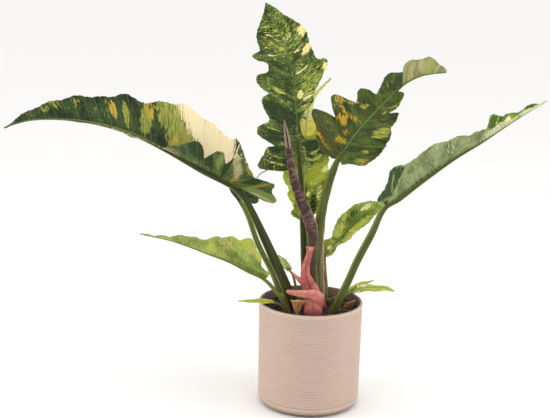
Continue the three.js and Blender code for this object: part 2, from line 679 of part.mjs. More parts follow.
// Soil: a plug that follows the pot's inside, with a gently uneven top
function soilSolid() {
  const bend = POT_CORNER_RADIUS + POT_FLOOR;
  const inner = (z) => {
    const share = (z - bend) / (POT_HEIGHT - RIM_ROUND - bend);
    return THREE.MathUtils.lerp(POT_FOOT_RADIUS, POT_RIM_RADIUS, share) - POT_WALL - SOIL_CLEARANCE;
  };
  const profile = [new THREE.Vector2(0, SOIL_BOTTOM)];
  profile.push(new THREE.Vector2(POT_FOOT_RADIUS - POT_CORNER_RADIUS - 1, SOIL_BOTTOM));
  profile.push(new THREE.Vector2(inner(bend) - 0.3, bend + 0.3));
  profile.push(new THREE.Vector2(inner(SOIL_TOP), SOIL_TOP));
  for (let i = SOIL_RINGS - 1; i >= 0; i--) {
    profile.push(new THREE.Vector2((inner(SOIL_TOP) * i) / SOIL_RINGS, SOIL_TOP));
  }
  const soil = uprightLathe(profile, SOIL_SIDES);
  const position = soil.attributes.position;
  for (let i = 0; i < position.count; i++) {
    if (Math.abs(position.getZ(i) - SOIL_TOP) > 0.01) continue;
    const x = position.getX(i);
    const y = position.getY(i);
    const broad = Math.sin(x * 0.21 + 1.3) * Math.cos(y * 0.17 - 0.6);
    const fine = 0.5 * Math.sin(x * 0.09 - y * 0.26);
    position.setZ(i, SOIL_TOP + SOIL_RELIEF * (broad + fine));
  }
  return solidOf(soil);
}

function rolledSolid({ rolls }, grow = 0) {
  return rolls.map((roll) => stalkSolid(roll, grow)).reduce((a, b) => a.add(b));
}

// A copy of each standing piece, a little larger, that makes room for it in what is beside it
function room(name) {
  if (LEAVES[name]) return stalkSolid(stalkOf(LEAVES[name]), GAP);
  if (STEMS[name]) return stalkSolid(STEMS[name], GAP);
  if (DRY_SHEATHS[name]) return drySolid(DRY_SHEATHS[name], GAP);
  return rolledSolid(ROLLED_SHEATHS[name], GAP);
}

// What is cut out of the soil for a piece: for a leaf, a plain straight hole round its stalk
function hole(name) {
  if (!LEAVES[name]) return room(name);
  const { stalk, midrib, stalkRadii, small } = LEAVES[name];
  const line = new LeafLine(stalk, midrib);
  const points = [0, HOLE_LENGTH].map((up) => line.pointAt(up - line.stalkLength).toArray());
  const radius = stalkRadii[0] + HOLE_EASE - GAP;
  const sides = small ? 6 : STALK_SIDES;
  return stalkSolid({ points, radii: [radius, radius], wide: [0, 1, 0], steps: 1, sides }, GAP);
}

const plant = new THREE.Group();

function addPiece(name, solid, colour, roughness) {
  const mesh = new THREE.Mesh(geometryOf(solid), finish(colour, roughness));
  mesh.name = name;
  plant.add(mesh);
}

// Leaves come first, and each later kind of piece gives way to those before it
const placed = [];
function giveWay(solid, space = room) {
  let cut = solid;
  for (const name of placed) cut = cut.subtract(space(name));
  return largestBody(cut);
}

addPiece("pot", potSolid(), COLOURS.pot, 0.45);
for (const [name, leaf] of Object.entries(LEAVES)) {
  addPiece(name, leafSolid(leaf), leaf.colour, 0.4);
  placed.push(name);
}
for (const [name, sheath] of Object.entries(ROLLED_SHEATHS)) {
  addPiece(name, giveWay(rolledSolid(sheath)), sheath.colour, 0.6);
  placed.push(name);
}
for (const [name, scrap] of Object.entries(DRY_SHEATHS)) {
  addPiece(name, giveWay(drySolid(scrap)), COLOURS.drySheath, 0.8);
  placed.push(name);
}
for (const [name, stem] of Object.entries(STEMS)) {
  addPiece(name, giveWay(stalkSolid(stem)), COLOURS.stem, 0.8);
  placed.push(name);
}
addPiece("soil", giveWay(soilSolid(), hole), COLOURS.soil, 0.95);

export default plant;
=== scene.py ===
# %% [markdown]
# # A potted philodendron, dressed in Blender
#
# The plant stands in a straight ribbed pot. Every leaf, sheath and stem already exists as a coarse
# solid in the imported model, and this script lays a finer, coloured piece over each of them.
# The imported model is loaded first, because it gives the frame in which everything is placed, in metres.

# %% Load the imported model
import functools
import math
import random

import bpy
import numpy as np
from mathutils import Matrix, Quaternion, Vector, noise


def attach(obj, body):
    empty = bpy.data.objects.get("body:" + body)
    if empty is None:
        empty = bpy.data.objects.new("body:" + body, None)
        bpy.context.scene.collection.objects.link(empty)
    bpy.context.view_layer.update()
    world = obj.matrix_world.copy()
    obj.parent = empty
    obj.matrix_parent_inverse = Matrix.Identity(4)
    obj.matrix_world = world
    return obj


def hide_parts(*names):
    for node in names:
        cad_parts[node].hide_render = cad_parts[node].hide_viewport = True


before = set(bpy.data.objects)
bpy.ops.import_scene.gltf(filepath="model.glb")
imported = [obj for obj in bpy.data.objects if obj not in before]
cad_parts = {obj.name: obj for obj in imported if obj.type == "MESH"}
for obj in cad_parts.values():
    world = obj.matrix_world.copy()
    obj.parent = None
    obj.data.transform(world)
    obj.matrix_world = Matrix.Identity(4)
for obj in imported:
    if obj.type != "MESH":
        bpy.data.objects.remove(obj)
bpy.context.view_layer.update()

MM = 0.001

# %% [markdown]
# Blender's operators act on whatever is selected, and loading leaves the whole model selected.
# So every step that uses them first selects what it is about to work on, and nothing else.

# %% Select pieces
def select_only(*objects):
    """Leaves edit mode and selects these objects alone, the first of them active."""
    if bpy.context.object and bpy.context.object.mode != "OBJECT":
        bpy.ops.object.mode_set(mode="OBJECT")
    bpy.ops.object.select_all(action="DESELECT")
    for piece in objects:
        piece.select_set(True)
    if objects:
        bpy.context.view_layer.objects.active = objects[0]


# %% [markdown]
# A finished piece is shaded smooth, named, given its materials and placed on its body, and the solids
# that it stands for are hidden. Its object stays at the origin, with its place in its mesh, as a solid's
# does, so that patterns on it don't slide when the model is exported.

# %% Settle a finished piece
def settle(piece, name, nodes, materials, smooth_angle=50):
    """Names a finished mesh, shades it smooth, gives it its materials and puts it on the frame."""
    select_only(piece)
    bpy.ops.object.transform_apply(location=True, rotation=True, scale=True)
    bpy.ops.object.shade_smooth_by_angle(angle=math.radians(smooth_angle))
    piece.name = name
    piece.data.name = name
    for index, material in enumerate(materials):
        if index < len(piece.data.materials):
            piece.data.materials[index] = material
        else:
            piece.data.materials.append(material)
    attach(piece, "root")
    if nodes:
        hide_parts(*nodes)
    print(name, "has", len(piece.data.polygons), "faces")


# %% [markdown]
# Colours are written as the sRGB hex values that a colour picker shows, and shaders want linear light,
# so one function turns one into the other.

# %% Colours
def linear(hex_colour):
    """Linear RGBA of an sRGB hex colour such as #d9c3b6."""
    channels = [int(hex_colour[i : i + 2], 16) / 255 for i in (1, 3, 5)]
    return [c / 12.92 if c <= 0.04045 else ((c + 0.055) / 1.055) ** 2.4 for c in channels] + [1.0]


print("Middle grey #808080 is", round(linear("#808080")[0], 3), "in linear light")

# %% [markdown]
# A material is built from nodes. One function adds a node with its settings and links, which keeps
# every material below down to a list of what it is made of. An input is given by its name, or by its
# number where a node has several of one name. Map Range takes its value as 0, the two ends that it
# comes from as 1 and 2, and the two that it goes to as 3 and 4, and with SMOOTH it eases in and out.
# Mix takes its share as 0, and with COLOURS its two colours as 6 and 7. With TIMES, a node multiplies
# its inputs 0 and 1.

# %% Nodes
SMOOTH = dict(interpolation_type="SMOOTHSTEP")
COLOURS = dict(data_type="RGBA", out=2)
TIMES = dict(operation="MULTIPLY")


def add(tree, kind, inputs=None, out=0, **settings):
    """Adds a node. Settings are its own properties, and inputs are values, hex colours or the sockets
    that feed it. Gives back the output with this number or name, or the node itself where out is None."""
    made = tree.nodes.new("ShaderNode" + kind)
    for name, value in settings.items():
        setattr(made, name, value)
    for name, value in (inputs or {}).items():
        if isinstance(value, bpy.types.NodeSocket):
            tree.links.new(value, made.inputs[name])
        else:
            made.inputs[name].default_value = linear(value) if isinstance(value, str) else value
    return made if out is None else made.outputs[out]


def new_material(name):
    """An empty material, and the function that adds a node to it."""
    material = bpy.data.materials.new(name)
    material.use_nodes = True
    material.node_tree.nodes.clear()
    return material, functools.partial(add, material.node_tree)


print("Materials so far:", len(bpy.data.materials))

# %% [markdown]
# The camera stands where the photograph's stood, as worked out from the ellipse of the pot's rim and
# the straight sides below it. An unturned camera looks straight down, so it is pitched up by a right
# angle, less the angle at which it looks down here.

# %% Camera
CAMERA_PLACE = (-0.05503, -1.79398, 0.73112)
CAMERA_PITCH_DOWN = 13.86
CAMERA_ROLL = 1.38
CAMERA_LENS = 84.92
SENSOR_WIDTH = 36

bpy.ops.object.camera_add(location=CAMERA_PLACE)
camera = bpy.context.object
camera.name = "camera"
camera.data.lens = CAMERA_LENS
camera.data.sensor_width = SENSOR_WIDTH
camera.data.dof.use_dof = False
camera.rotation_mode = "QUATERNION"
pitch = Quaternion((1, 0, 0), math.radians(90 - CAMERA_PITCH_DOWN))
camera.rotation_quaternion = pitch @ Quaternion((0, 0, 1), math.radians(CAMERA_ROLL))
bpy.context.scene.camera = camera
print("Camera at", CAMERA_PLACE, "with a lens of", CAMERA_LENS, "mm")

# %% [markdown]
# Two wide soft boxes at the sides leave the middle of the pot a little darker than its edges, and one
# above lights the leaves. Each is a square area light: the larger it is, the softer its shadows.

# %% Soft boxes
def soft_box(name, place, aim, size, power):
    """A square area light that looks from its place to its aim."""
    bpy.ops.object.light_add(type="AREA", location=place)
    light = bpy.context.object
    light.name = name
    light.data.size = size
    light.data.energy = power
    light.rotation_euler = (Vector(aim) - Vector(place)).to_track_quat("-Z", "Y").to_euler()
    return light


boxes = [
    soft_box("box_left", (-1.7, -0.3, 0.7), (0, 0, 0.2), 1.0, 9),
    soft_box("box_right", (1.7, -0.3, 0.7), (0, 0, 0.2), 1.0, 9),
    soft_box("box_above", (0.0, -0.5, 2.0), (0, 0, 0.3), 1.4, 5),
]
print("Soft boxes:", [box.name for box in boxes])

# %% [markdown]
# The surroundings are plain and white, and fill the shadows with soft light. The Standard view shows
# colours as they were picked, without a film look.

# %% White surroundings
world = bpy.data.worlds.new("white_surroundings")
bpy.context.scene.world = world
world.use_nodes = True
world.node_tree.nodes["Background"].inputs["Color"].default_value = linear("#ffffff")
world.node_tree.nodes["Background"].inputs["Strength"].default_value = 1.0
bpy.context.scene.view_settings.view_transform = "Standard"
print("Surroundings:", world.name)

# %% [markdown]
# The floor is matte white paper. It isn't part of the plant, so it is marked as stage, and it lies a
# hair below the pot's underside, so that no two faces share one place.

# %% Floor
FLOOR_SIZE = 12
FLOOR_UP = -0.0004

bpy.ops.mesh.primitive_plane_add(size=FLOOR_SIZE, location=(0, 2, FLOOR_UP))
floor = bpy.context.object
floor.name = "floor"
bpy.ops.object.transform_apply(location=True, rotation=True, scale=True)
matte_paper, node = new_material("matte_white_paper")
paper = node("BsdfPrincipled", {"Base Color": "#f7f6f4", "Roughness": 0.9})
node("OutputMaterial", {"Surface": paper}, None)
floor.data.materials.append(matte_paper)
print("The floor is", FLOOR_SIZE, "m wide")

# %% [markdown]
# ## The pot
#
# The real pot is fired clay with fine level ribs, which a potter or a mould turns about one axis.
# So its section is drawn as a chain of points, and the chain is spun once round that axis. Its sizes
# are in millimetres, and its round edges are arcs of a few short steps.

# %% Sizes of the pot
POT_HEIGHT = 154
RIM_RADIUS = 75
FOOT_RADIUS = 73.6
WALL = 4.2
POT_FLOOR = 7
FLAT_MIDDLE = 30
CORNER_RADIUS = 12
INNER_CORNER_RADIUS = 8
RIM_BAND = 6
RIM_ROUND = 1.6


def arc(centre_out, centre_up, radius, start, end, steps):
    """Points of an arc in the section, by angles in degrees from straight out."""
    turns = [math.radians(start + (end - start) * i / steps) for i in range(steps + 1)]
    return [(centre_out + radius * math.cos(a), centre_up + radius * math.sin(a)) for a in turns]


def outer_radius(up):
    """How far out the smooth wall lies at this height."""
    return FOOT_RADIUS + (RIM_RADIUS - FOOT_RADIUS) * up / POT_HEIGHT


print("Half way up, the pot is", round(2 * outer_radius(POT_HEIGHT / 2), 1), "mm across")

# %% [markdown]
# The chain starts in the middle of the underside, goes round the foot and up the wall. A rib has a
# broad rounded crest, and the groove between two ribs is narrow. Above the last one the wall steps out
# to a smooth band, and the chain goes over the rounded rim and down inside, where the wall is plain.

# %% Section of the pot
RIB_PITCH = 3.25
RIB_DEPTH = 0.75
RIB_COUNT = 42
RIB_FULLNESS = 0.7
POINTS_PER_RIB = 6

rib_top = POT_HEIGHT - RIM_BAND
section = [(0, 0), (FLAT_MIDDLE, 0)]
section += arc(FOOT_RADIUS - CORNER_RADIUS, CORNER_RADIUS, CORNER_RADIUS, -90, 0, 10)
for rib in range(RIB_COUNT):
    low = rib_top - (RIB_COUNT - rib) * RIB_PITCH
    if low < CORNER_RADIUS + 0.5:
        continue
    for i in range(POINTS_PER_RIB):
        crest = math.sin(math.pi * i / POINTS_PER_RIB) ** RIB_FULLNESS
        up = low + RIB_PITCH * i / POINTS_PER_RIB
        section.append((outer_radius(up) - RIB_DEPTH * (1 - crest), up))
section += [(RIM_RADIUS - RIB_DEPTH, rib_top), (RIM_RADIUS - 0.15, rib_top + 0.5)]
section += [(RIM_RADIUS, rib_top + 1.2)]
section += arc(RIM_RADIUS - RIM_ROUND, POT_HEIGHT - RIM_ROUND, RIM_ROUND, 0, 90, 5)
section += arc(RIM_RADIUS - WALL + RIM_ROUND, POT_HEIGHT - RIM_ROUND, RIM_ROUND, 90, 180, 5)
section += [(FOOT_RADIUS - WALL, CORNER_RADIUS + POT_FLOOR)]
inner_corner = (FOOT_RADIUS - WALL - INNER_CORNER_RADIUS, POT_FLOOR + INNER_CORNER_RADIUS)
section += arc(*inner_corner, INNER_CORNER_RADIUS, 0, -90, 5)
section += [(FLAT_MIDDLE, POT_FLOOR), (0, POT_FLOOR)]
print("The pot's section has", len(section), "points")

# %% [markdown]
# In edit mode a plane is merged to one point, which is extruded from place to place along the section.
# The spin turns that chain round the upright axis. Its first and last copy lie on each other, as do the
# points on the axis, so doubles are merged, and the normals are then made to point out of the clay.

# %% Spin the pot
POT_STEPS = 160

select_only()
bpy.ops.mesh.primitive_plane_add(size=0.01)
pot = bpy.context.object
bpy.ops.object.mode_set(mode="EDIT")
bpy.ops.mesh.merge(type="CENTER")
for (out, up), (next_out, next_up) in zip(section, section[1:]):
    move = ((next_out - out) * MM, 0, (next_up - up) * MM)
    bpy.ops.mesh.extrude_region_move(TRANSFORM_OT_translate={"value": move})
bpy.ops.mesh.select_all(action="SELECT")
bpy.ops.mesh.spin(steps=POT_STEPS, angle=2 * math.pi, center=(0, 0, 0), axis=(0, 0, 1))
bpy.ops.mesh.select_all(action="SELECT")
bpy.ops.mesh.remove_doubles(threshold=0.00001)
bpy.ops.mesh.normals_make_consistent(inside=False)
bpy.ops.object.mode_set(mode="OBJECT")
print("The spun pot has", len(pot.data.vertices), "points")

# %% [markdown]
# The clay is fired with a thin, almost matte slip in a pinkish beige. The nodes tell the places on it
# apart by how deep a point lies under the smooth wall: a fraction of a millimetre is a groove, which
# is painted darker as painted shade, and more is the inside.

# %% Grooves and inside of the stoneware
def in_millimetres(node):
    """The place on a piece in millimetres, from Object coordinates in metres."""
    place = node("TexCoord", None, "Object")
    return node("VectorMath", {0: place, 1: (1000, 1000, 1000)}, **TIMES)


stoneware, node = new_material("slip_coated_stoneware")
in_mm = in_millimetres(node)
axes = node("SeparateXYZ", {0: in_mm}, None)
level = node("CombineXYZ", {0: axes.outputs[0], 1: axes.outputs[1]})
from_axis = node("VectorMath", {0: level}, "Value", operation="LENGTH")
wall_line = node("MapRange", {0: axes.outputs[2], 2: POT_HEIGHT, 3: FOOT_RADIUS, 4: RIM_RADIUS})
sunk = node("Math", {0: wall_line, 1: from_axis}, operation="SUBTRACT")
in_groove = node("MapRange", {0: sunk, 1: 0.12, 2: RIB_DEPTH}, **SMOOTH)
inside = node("MapRange", {0: sunk, 1: 1.2, 2: 3.6}, **SMOOTH)
print("Grooves are", RIB_DEPTH, "mm deep")

# %% [markdown]
# Close up, the slip is a little cloudy, with grit of about a millimetre that pits its surface. Inside,
# above the soil, the wall is painted a duller, darker brown, as painted shade.

# %% Slip-coated stoneware
cloud_place = node("VectorMath", {0: in_mm, 1: (0.035, 0.035, 0.11)}, **TIMES)
clouds = node("TexNoise", {"Vector": cloud_place, "Scale": 1, "Detail": 4})
grit = node("TexNoise", {"Vector": in_mm, "Scale": 1.2, "Detail": 2})
slip = node("Mix", {0: clouds, 6: "#c9b0a1", 7: "#bda393"}, **COLOURS)
# Painted shade: the grooves are mixed towards a darker brown.
shade = node("Math", {0: in_groove, 1: 0.5}, **TIMES)
slip = node("Mix", {0: shade, 6: slip, 7: "#8f7464"}, **COLOURS)
specks = node("MapRange", {0: grit, 1: 0.58, 2: 0.72, 4: 0.16}, **SMOOTH)
slip = node("Mix", {0: specks, 6: slip, 7: "#9d8272"}, **COLOURS)
# Painted shade on the inner wall above the soil: a darker, duller brown.
inside_shade_noise = node("TexNoise", {"Vector": in_mm, "Scale": 0.12, "Detail": 3})
painted_inside_shade = node("Mix", {0: inside_shade_noise, 6: "#8a7060", 7: "#5f4a3b"}, **COLOURS)
clay = node("Mix", {0: inside, 6: slip, 7: painted_inside_shade}, **COLOURS)
pitted = node("Bump", {"Height": grit, "Strength": 0.25, "Distance": 0.1 * MM})
glaze = node("BsdfPrincipled", {"Base Color": clay, "Roughness": 0.5, "Normal": pitted})
node("OutputMaterial", {"Surface": glaze}, None)
settle(pot, "pot_turned", ["pot"], [stoneware], smooth_angle=60)

# %% [markdown]
# ## The soil
#
# Soil, leaves, stalks and sheaths are all sheets that bend in their own ways, so they start alike: a
# grid is added, and its points are laid by a formula of how far along and across the grid they lie.
# A grid with its ends and seam merged is a closed skin. Values that the paint needs later are kept
# with the points, as attributes.

# %% A surface laid by formula
FIELD_KINDS = {1: ("FLOAT", "value"), 3: ("FLOAT_VECTOR", "vector"), 4: ("FLOAT_COLOR", "color")}


def lay_sheet(columns, rows, place, closed=False):
    """A grid whose points are laid by place(u, v), which takes and gives whole arrays.
    u runs from 0 to 1 along x and v along y. A closed sheet has its seam and its ends merged."""
    select_only()
    bpy.ops.mesh.primitive_grid_add(x_subdivisions=columns, y_subdivisions=rows, size=1)
    piece = bpy.context.object
    flat = np.zeros(len(piece.data.vertices) * 3, np.float32)
    piece.data.vertices.foreach_get("co", flat)
    flat = np.clip(flat.reshape(-1, 3).astype(float) + 0.5, 0, 1)
    points, fields = place(flat[:, 0], flat[:, 1])
    piece.data.vertices.foreach_set("co", (points * MM).astype(np.float32).ravel())
    for name, values in fields.items():
        kind, part = FIELD_KINDS[values.size // len(points)]
        attribute = piece.data.attributes.new(name, kind, "POINT")
        attribute.data.foreach_set(part, values.astype(np.float32).ravel())
    piece.data.update()
    if closed:
        bpy.ops.object.mode_set(mode="EDIT")
        bpy.ops.mesh.select_all(action="SELECT")
        bpy.ops.mesh.remove_doubles(threshold=0.000005)
        bpy.ops.mesh.normals_make_consistent(inside=False)
        bpy.ops.object.mode_set(mode="OBJECT")
    return piece


print("Kinds of values:", [kind for kind, part in FIELD_KINDS.values()])

# %% [markdown]
# Potting mix is dark peat, coarse and uneven. Its surface is laid in rings from the middle out to the
# pot's wall, down along it and in again below, and noise lifts the top: broad humps, and small lumps
# on them.

# %% Soil surface
SOIL_TOP = 142
SOIL_BOTTOM = 8
SOIL_RADIUS = 69.5
SOIL_TAPER = 1.5
TOP_SHARE = 0.86
WALL_SHARE = 0.93


def rough(points, size):
    """Noise from about -1 to 1 at each point, with lumps of this size in mm."""
    return np.array([noise.fractal(Vector(point) / size, 0.8, 2.1, 3) for point in points])


def place_soil(u, v):
    """From the middle of the top, out to the wall, down it and in again below."""
    shares = [0, TOP_SHARE, WALL_SHARE, 1]
    reach = np.interp(u, shares, [0, SOIL_RADIUS, SOIL_RADIUS - SOIL_TAPER, 0])
    up = np.interp(u, shares, [SOIL_TOP, SOIL_TOP, SOIL_BOTTOM, SOIL_BOTTOM])
    turn = v * 2 * math.pi
    points = np.stack([reach * np.cos(turn), reach * np.sin(turn), up], axis=1)
    lumps = 1.5 * rough(points, 16) + 0.7 * rough(points, 3.2)
    points[:, 2] += np.where(u < TOP_SHARE - 0.005, lumps, 0)
    return points, {}


soil = lay_sheet(110, 190, place_soil, closed=True)
print("The soil's surface has", len(soil.data.vertices), "points")

# %% [markdown]
# Damp peat is nearly black, browner on its clods, with lighter plant fibres of a millimetre or so in
# it. It has no gloss, and its crumb is lumpy bump on top of the modelled lumps.

# %% Damp peat
peat, node = new_material("damp_peat")
in_mm = in_millimetres(node)
clods = node("TexNoise", {"Vector": in_mm, "Scale": 0.25, "Detail": 5})
fibre_place = node("VectorMath", {0: in_mm, 1: (1.1, 0.28, 1)}, **TIMES)
fibres = node("TexNoise", {"Vector": fibre_place, "Scale": 1, "Detail": 3})
brown = node("Mix", {0: clods, 6: "#17100c", 7: "#3a2a20"}, **COLOURS)
strands = node("MapRange", {0: fibres, 1: 0.6, 2: 0.72}, **SMOOTH)
brown = node("Mix", {0: strands, 6: brown, 7: "#5c4030"}, **COLOURS)
lumpy = node("Bump", {"Height": clods, "Strength": 0.8, "Distance": 1.0 * MM})
damp = node("BsdfPrincipled", {"Base Color": brown, "Roughness": 0.85, "Normal": lumpy})
node("OutputMaterial", {"Surface": damp}, None)
settle(soil, "soil_surface", ["soil"], [peat])

# %% [markdown]
# Crumbs and slivers of bark lie on the mix. They are one small stone of a few faces, bent out of
# shape once, then copied, stretched and turned at random. The draw is seeded, so every run is alike,
# and a square root spreads the copies evenly over the round surface.

# %% Crumbs
CRUMBS = 240
CRUMB_REACH = 67

chance = random.Random(11)
select_only()
bpy.ops.mesh.primitive_ico_sphere_add(subdivisions=1, radius=1.0 * MM)
crumb = bpy.context.object
for corner in crumb.data.vertices:
    corner.co *= chance.uniform(0.75, 1.25)
copies = []
for i in range(CRUMBS):
    copy = crumb.copy()
    copy.data = crumb.data.copy()
    bpy.context.collection.objects.link(copy)
    reach = CRUMB_REACH * math.sqrt(chance.random())
    turn = chance.uniform(0, 2 * math.pi)
    size = chance.uniform(0.6, 1.7)
    copy.location = (reach * math.cos(turn) * MM, reach * math.sin(turn) * MM, (SOIL_TOP + 0.6 * size) * MM)
    copy.rotation_euler = [chance.uniform(0, 6.28) for axis in range(3)]
    copy.scale = (size * chance.uniform(0.8, 2.6), size, size * chance.uniform(0.5, 0.9))
    copies.append(copy)
bpy.data.objects.remove(crumb)
select_only(*copies)
bpy.ops.object.join()
crumbs = bpy.context.object
print("Crumbs on the soil:", len(copies))

# %% [markdown]
# Bark and peat crumbs are dark to reddish brown. A noise of several millimetres gives whole crumbs
# their own tone, and a finer one their flaky surface.

# %% Bark and peat crumbs
bark, node = new_material("bark_and_peat_crumbs")
in_mm = in_millimetres(node)
tone = node("TexNoise", {"Vector": in_mm, "Scale": 0.14, "Detail": 3})
tone = node("MapRange", {0: tone, 1: 0.35, 2: 0.7}, **SMOOTH)
brown = node("Mix", {0: tone, 6: "#1d140f", 7: "#5a3d2b"}, **COLOURS)
flaky = node("TexNoise", {"Vector": in_mm, "Scale": 1.2, "Detail": 2})
flaky = node("Bump", {"Height": flaky, "Strength": 0.6, "Distance": 0.3 * MM})
flakes = node("BsdfPrincipled", {"Base Color": brown, "Roughness": 0.8, "Normal": flaky})
node("OutputMaterial", {"Surface": flakes}, None)
settle(crumbs, "soil_crumbs", [], [bark], smooth_angle=20)

# %% [markdown]
# ## How a leaf is laid out
#
# A lobed leaf is folded along its midrib, and each lobe is fed by a lateral vein that leaves the midrib
# at a slant. Each leaf is described by the line of its stalk and midrib, the way its face looks, the
# fold of its two halves, and its outline on each side: lobe tips and the bays between them, as
# distance along the midrib, distance out from it and lift, all in millimetres.
#
# The lines are smooth curves through a few points, so that stalks and midribs have no kinks.

# %% Smooth lines
SAMPLES_PER_SPAN = 24


def smooth_line(points):
    """Samples of a centripetal curve through these points."""
    points = np.asarray(points, float)
    first = 2 * points[0] - points[1]
    last = 2 * points[-1] - points[-2]
    ring = np.vstack([first, points, last])
    samples = []
    for a, b, c, d in zip(ring, ring[1:], ring[2:], ring[3:]):
        spans = ((a, b), (b, c), (c, d))
        gap_ab, gap_bc, gap_cd = (max(np.linalg.norm(q - p), 1e-9) ** 0.5 for p, q in spans)
        slope_b = ((b - a) / gap_ab - (c - a) / (gap_ab + gap_bc) + (c - b) / gap_bc) * gap_bc
        slope_c = ((c - b) / gap_bc - (d - b) / (gap_bc + gap_cd) + (d - c) / gap_cd) * gap_bc
        t = np.arange(SAMPLES_PER_SPAN)[:, None] / SAMPLES_PER_SPAN
        samples.append(b * (2 * t**3 - 3 * t**2 + 1) + c * (3 * t**2 - 2 * t**3)
                       + slope_b * (t**3 - 2 * t**2 + t) + slope_c * (t**3 - t**2))
    return np.vstack(samples + [points[-1:]])


print("A smooth line has", SAMPLES_PER_SPAN, "samples between two of its points")

# %% [markdown]
# On a line, places are told by their distance along it, as with a tape measure. On a leaf the tape
# starts where the blade does: the midrib lies at distances above 0 and the stalk below.

# %% Distances along a line
class Line:
    """A smooth line on which places are measured in mm from one of its points, counted by start."""

    def __init__(self, points, start=0):
        self.samples = smooth_line(points)
        steps = np.linalg.norm(np.diff(self.samples, axis=0), axis=1)
        self.reach = np.concatenate([[0], np.cumsum(steps)])
        self.reach -= self.reach[start * SAMPLES_PER_SPAN]
        self.start = self.reach[0]
        self.length = self.reach[-1]

    def at(self, along):
        along = np.clip(along, self.start, self.length)
        return np.stack([np.interp(along, self.reach, self.samples[:, k]) for k in range(3)], axis=-1)

    def heading(self, along):
        ahead = self.at(along + 2) - self.at(along - 2)
        return ahead / np.linalg.norm(ahead, axis=-1, keepdims=True)


def eased(values, share):
    """Smooth change through evenly spaced values, for shares from 0 to 1."""
    values = np.asarray(values, float)
    place = np.clip(share, 0, 1) * (len(values) - 1)
    index = np.minimum(place.astype(int), len(values) - 2)
    part = place - index
    part = part * part * (3 - 2 * part)
    if values.ndim > 1:
        part = part[..., None]
    return values[index] + (values[index + 1] - values[index]) * part


bend = Line([[0, 0, 0], [0, 10, 30], [0, 40, 50]])
print("A bend through three points measures", round(bend.length, 1), "mm along it")

# %% [markdown]
# Each half of a blade leans up from the midrib by its fold and curls a little further towards its edge.
# The crease is rounded, as living tissue is.

# %% A point on a blade
CURL_PER_MM = math.radians(3) / 40
CREASE_ROUND = 1.2


def unit(vectors):
    return vectors / np.linalg.norm(vectors, axis=-1, keepdims=True)


def blade_point(leaf, side, along, out, lift):
    """Points in mm from distances along the midrib and out from it. side is 1 left and -1 right."""
    line = leaf["line"]
    held = np.clip(along, 0, line.length)
    share = held / line.length
    heading = line.heading(held)
    face = eased(leaf["face"], share)
    face = unit(face - heading * np.sum(face * heading, axis=-1, keepdims=True))
    left = np.cross(face, heading)
    folds = [eased(leaf[key], share) for key in ("fold_left", "fold_right")]
    fold = np.radians(np.where(side > 0, *folds))
    across = (np.sin(fold + CURL_PER_MM * out) - np.sin(fold)) / CURL_PER_MM
    up = (np.cos(fold) - np.cos(fold + CURL_PER_MM * out)) / CURL_PER_MM
    up = np.sqrt(up * up + CREASE_ROUND**2) - CREASE_ROUND
    middle = line.at(held) + heading * (along - held)[..., None]
    return middle + left * (side * across)[..., None] + face * (up + lift)[..., None]


print("A blade curls by", round(math.degrees(CURL_PER_MM * 100), 1), "degrees over 100 mm")

# %% [markdown]
# Lateral veins leave the midrib earlier than the lobes that they feed. So every point of the outline is
# given the place where its vein starts, and the edge between is a smooth curve over those places.
# All lobes behind the stalk are fed by veins that fan out from the first few millimetres.

# %% The edge of a blade
VEIN_LEAN = 0.45
VEIN_SPACING = 1.6


def vein_starts(outline, length):
    """Where the vein to each point of an outline leaves the midrib, in mm along it."""
    starts = []
    for i, point in enumerate(outline):
        wanted = math.floor((point[0] - VEIN_LEAN * point[1]) / VEIN_SPACING + 0.5) * VEIN_SPACING
        lowest = starts[-1] + VEIN_SPACING if starts else 0
        starts.append(min(max(wanted, lowest), length - VEIN_SPACING * (len(outline) - i)))
    return starts


def edge_at(outline, length, start):
    """Along, out and lift of the edge for veins that leave the midrib at these places."""
    ends = np.array([list(point) + [0] * (3 - len(point)) for point in outline] + [[length, 0.6, 0]], float)
    knots = np.array(vein_starts(outline, length) + [length])
    index = np.clip(np.searchsorted(knots, start, side="right") - 1, 0, len(knots) - 2)
    t = np.clip((start - knots[index]) / (knots[index + 1] - knots[index]), 0, 1)[:, None]
    a, b, c, d = (ends[np.clip(index + step, 0, len(ends) - 1)] for step in (-1, 0, 1, 2))
    return (b * (2 * t**3 - 3 * t**2 + 1) + c * (3 * t**2 - 2 * t**3)
            + (c - a) / 2 * (t**3 - 2 * t**2 + t) + (d - b) / 2 * (t**3 - t**2))


print("Veins leave the midrib at least", VEIN_SPACING, "mm apart")

# %% [markdown]
# The columns of the blade's grid are its lateral veins. They are set about two millimetres apart where
# they spread most, which is counted as the blade's sweep from its stalk to its tip.

# %% The sweep of a blade
COLUMN_STEP = 2.0
ROW_STEP = 2.4
SWEEP_SAMPLES = 4000


def sweep_of(leaf):
    """Starts of veins, finely spaced, and the sweep reached at each."""
    length = leaf["line"].length
    starts = np.linspace(0, length, SWEEP_SAMPLES)
    steps = np.maximum.reduce([
        np.linalg.norm(np.diff(edge_at(leaf[side], length, starts)[:, :2], axis=0), axis=1)
        for side in ("left", "right")
    ] + [np.diff(starts)])
    return starts, np.concatenate([[0], np.cumsum(steps)])


print("A blade has a column every", COLUMN_STEP, "mm and a row every", ROW_STEP, "mm")

# %% [markdown]
# The sweep is used again in the paint, because veins, streaks and patches of colour all run with it.
# A mark in a leaf's table is a soft spot on the blade, an ellipse in sweep and distance out, which may
# slant across the veins. Where marks of one kind overlap, the stronger one holds.

# %% Marks on a blade
# Marks of the dark kind are partly a deeper green of the tissue and partly painted shade.
MARK_CHANNELS = {"cream": 0, "amber": 1, "lime": 2, "dark": 3}


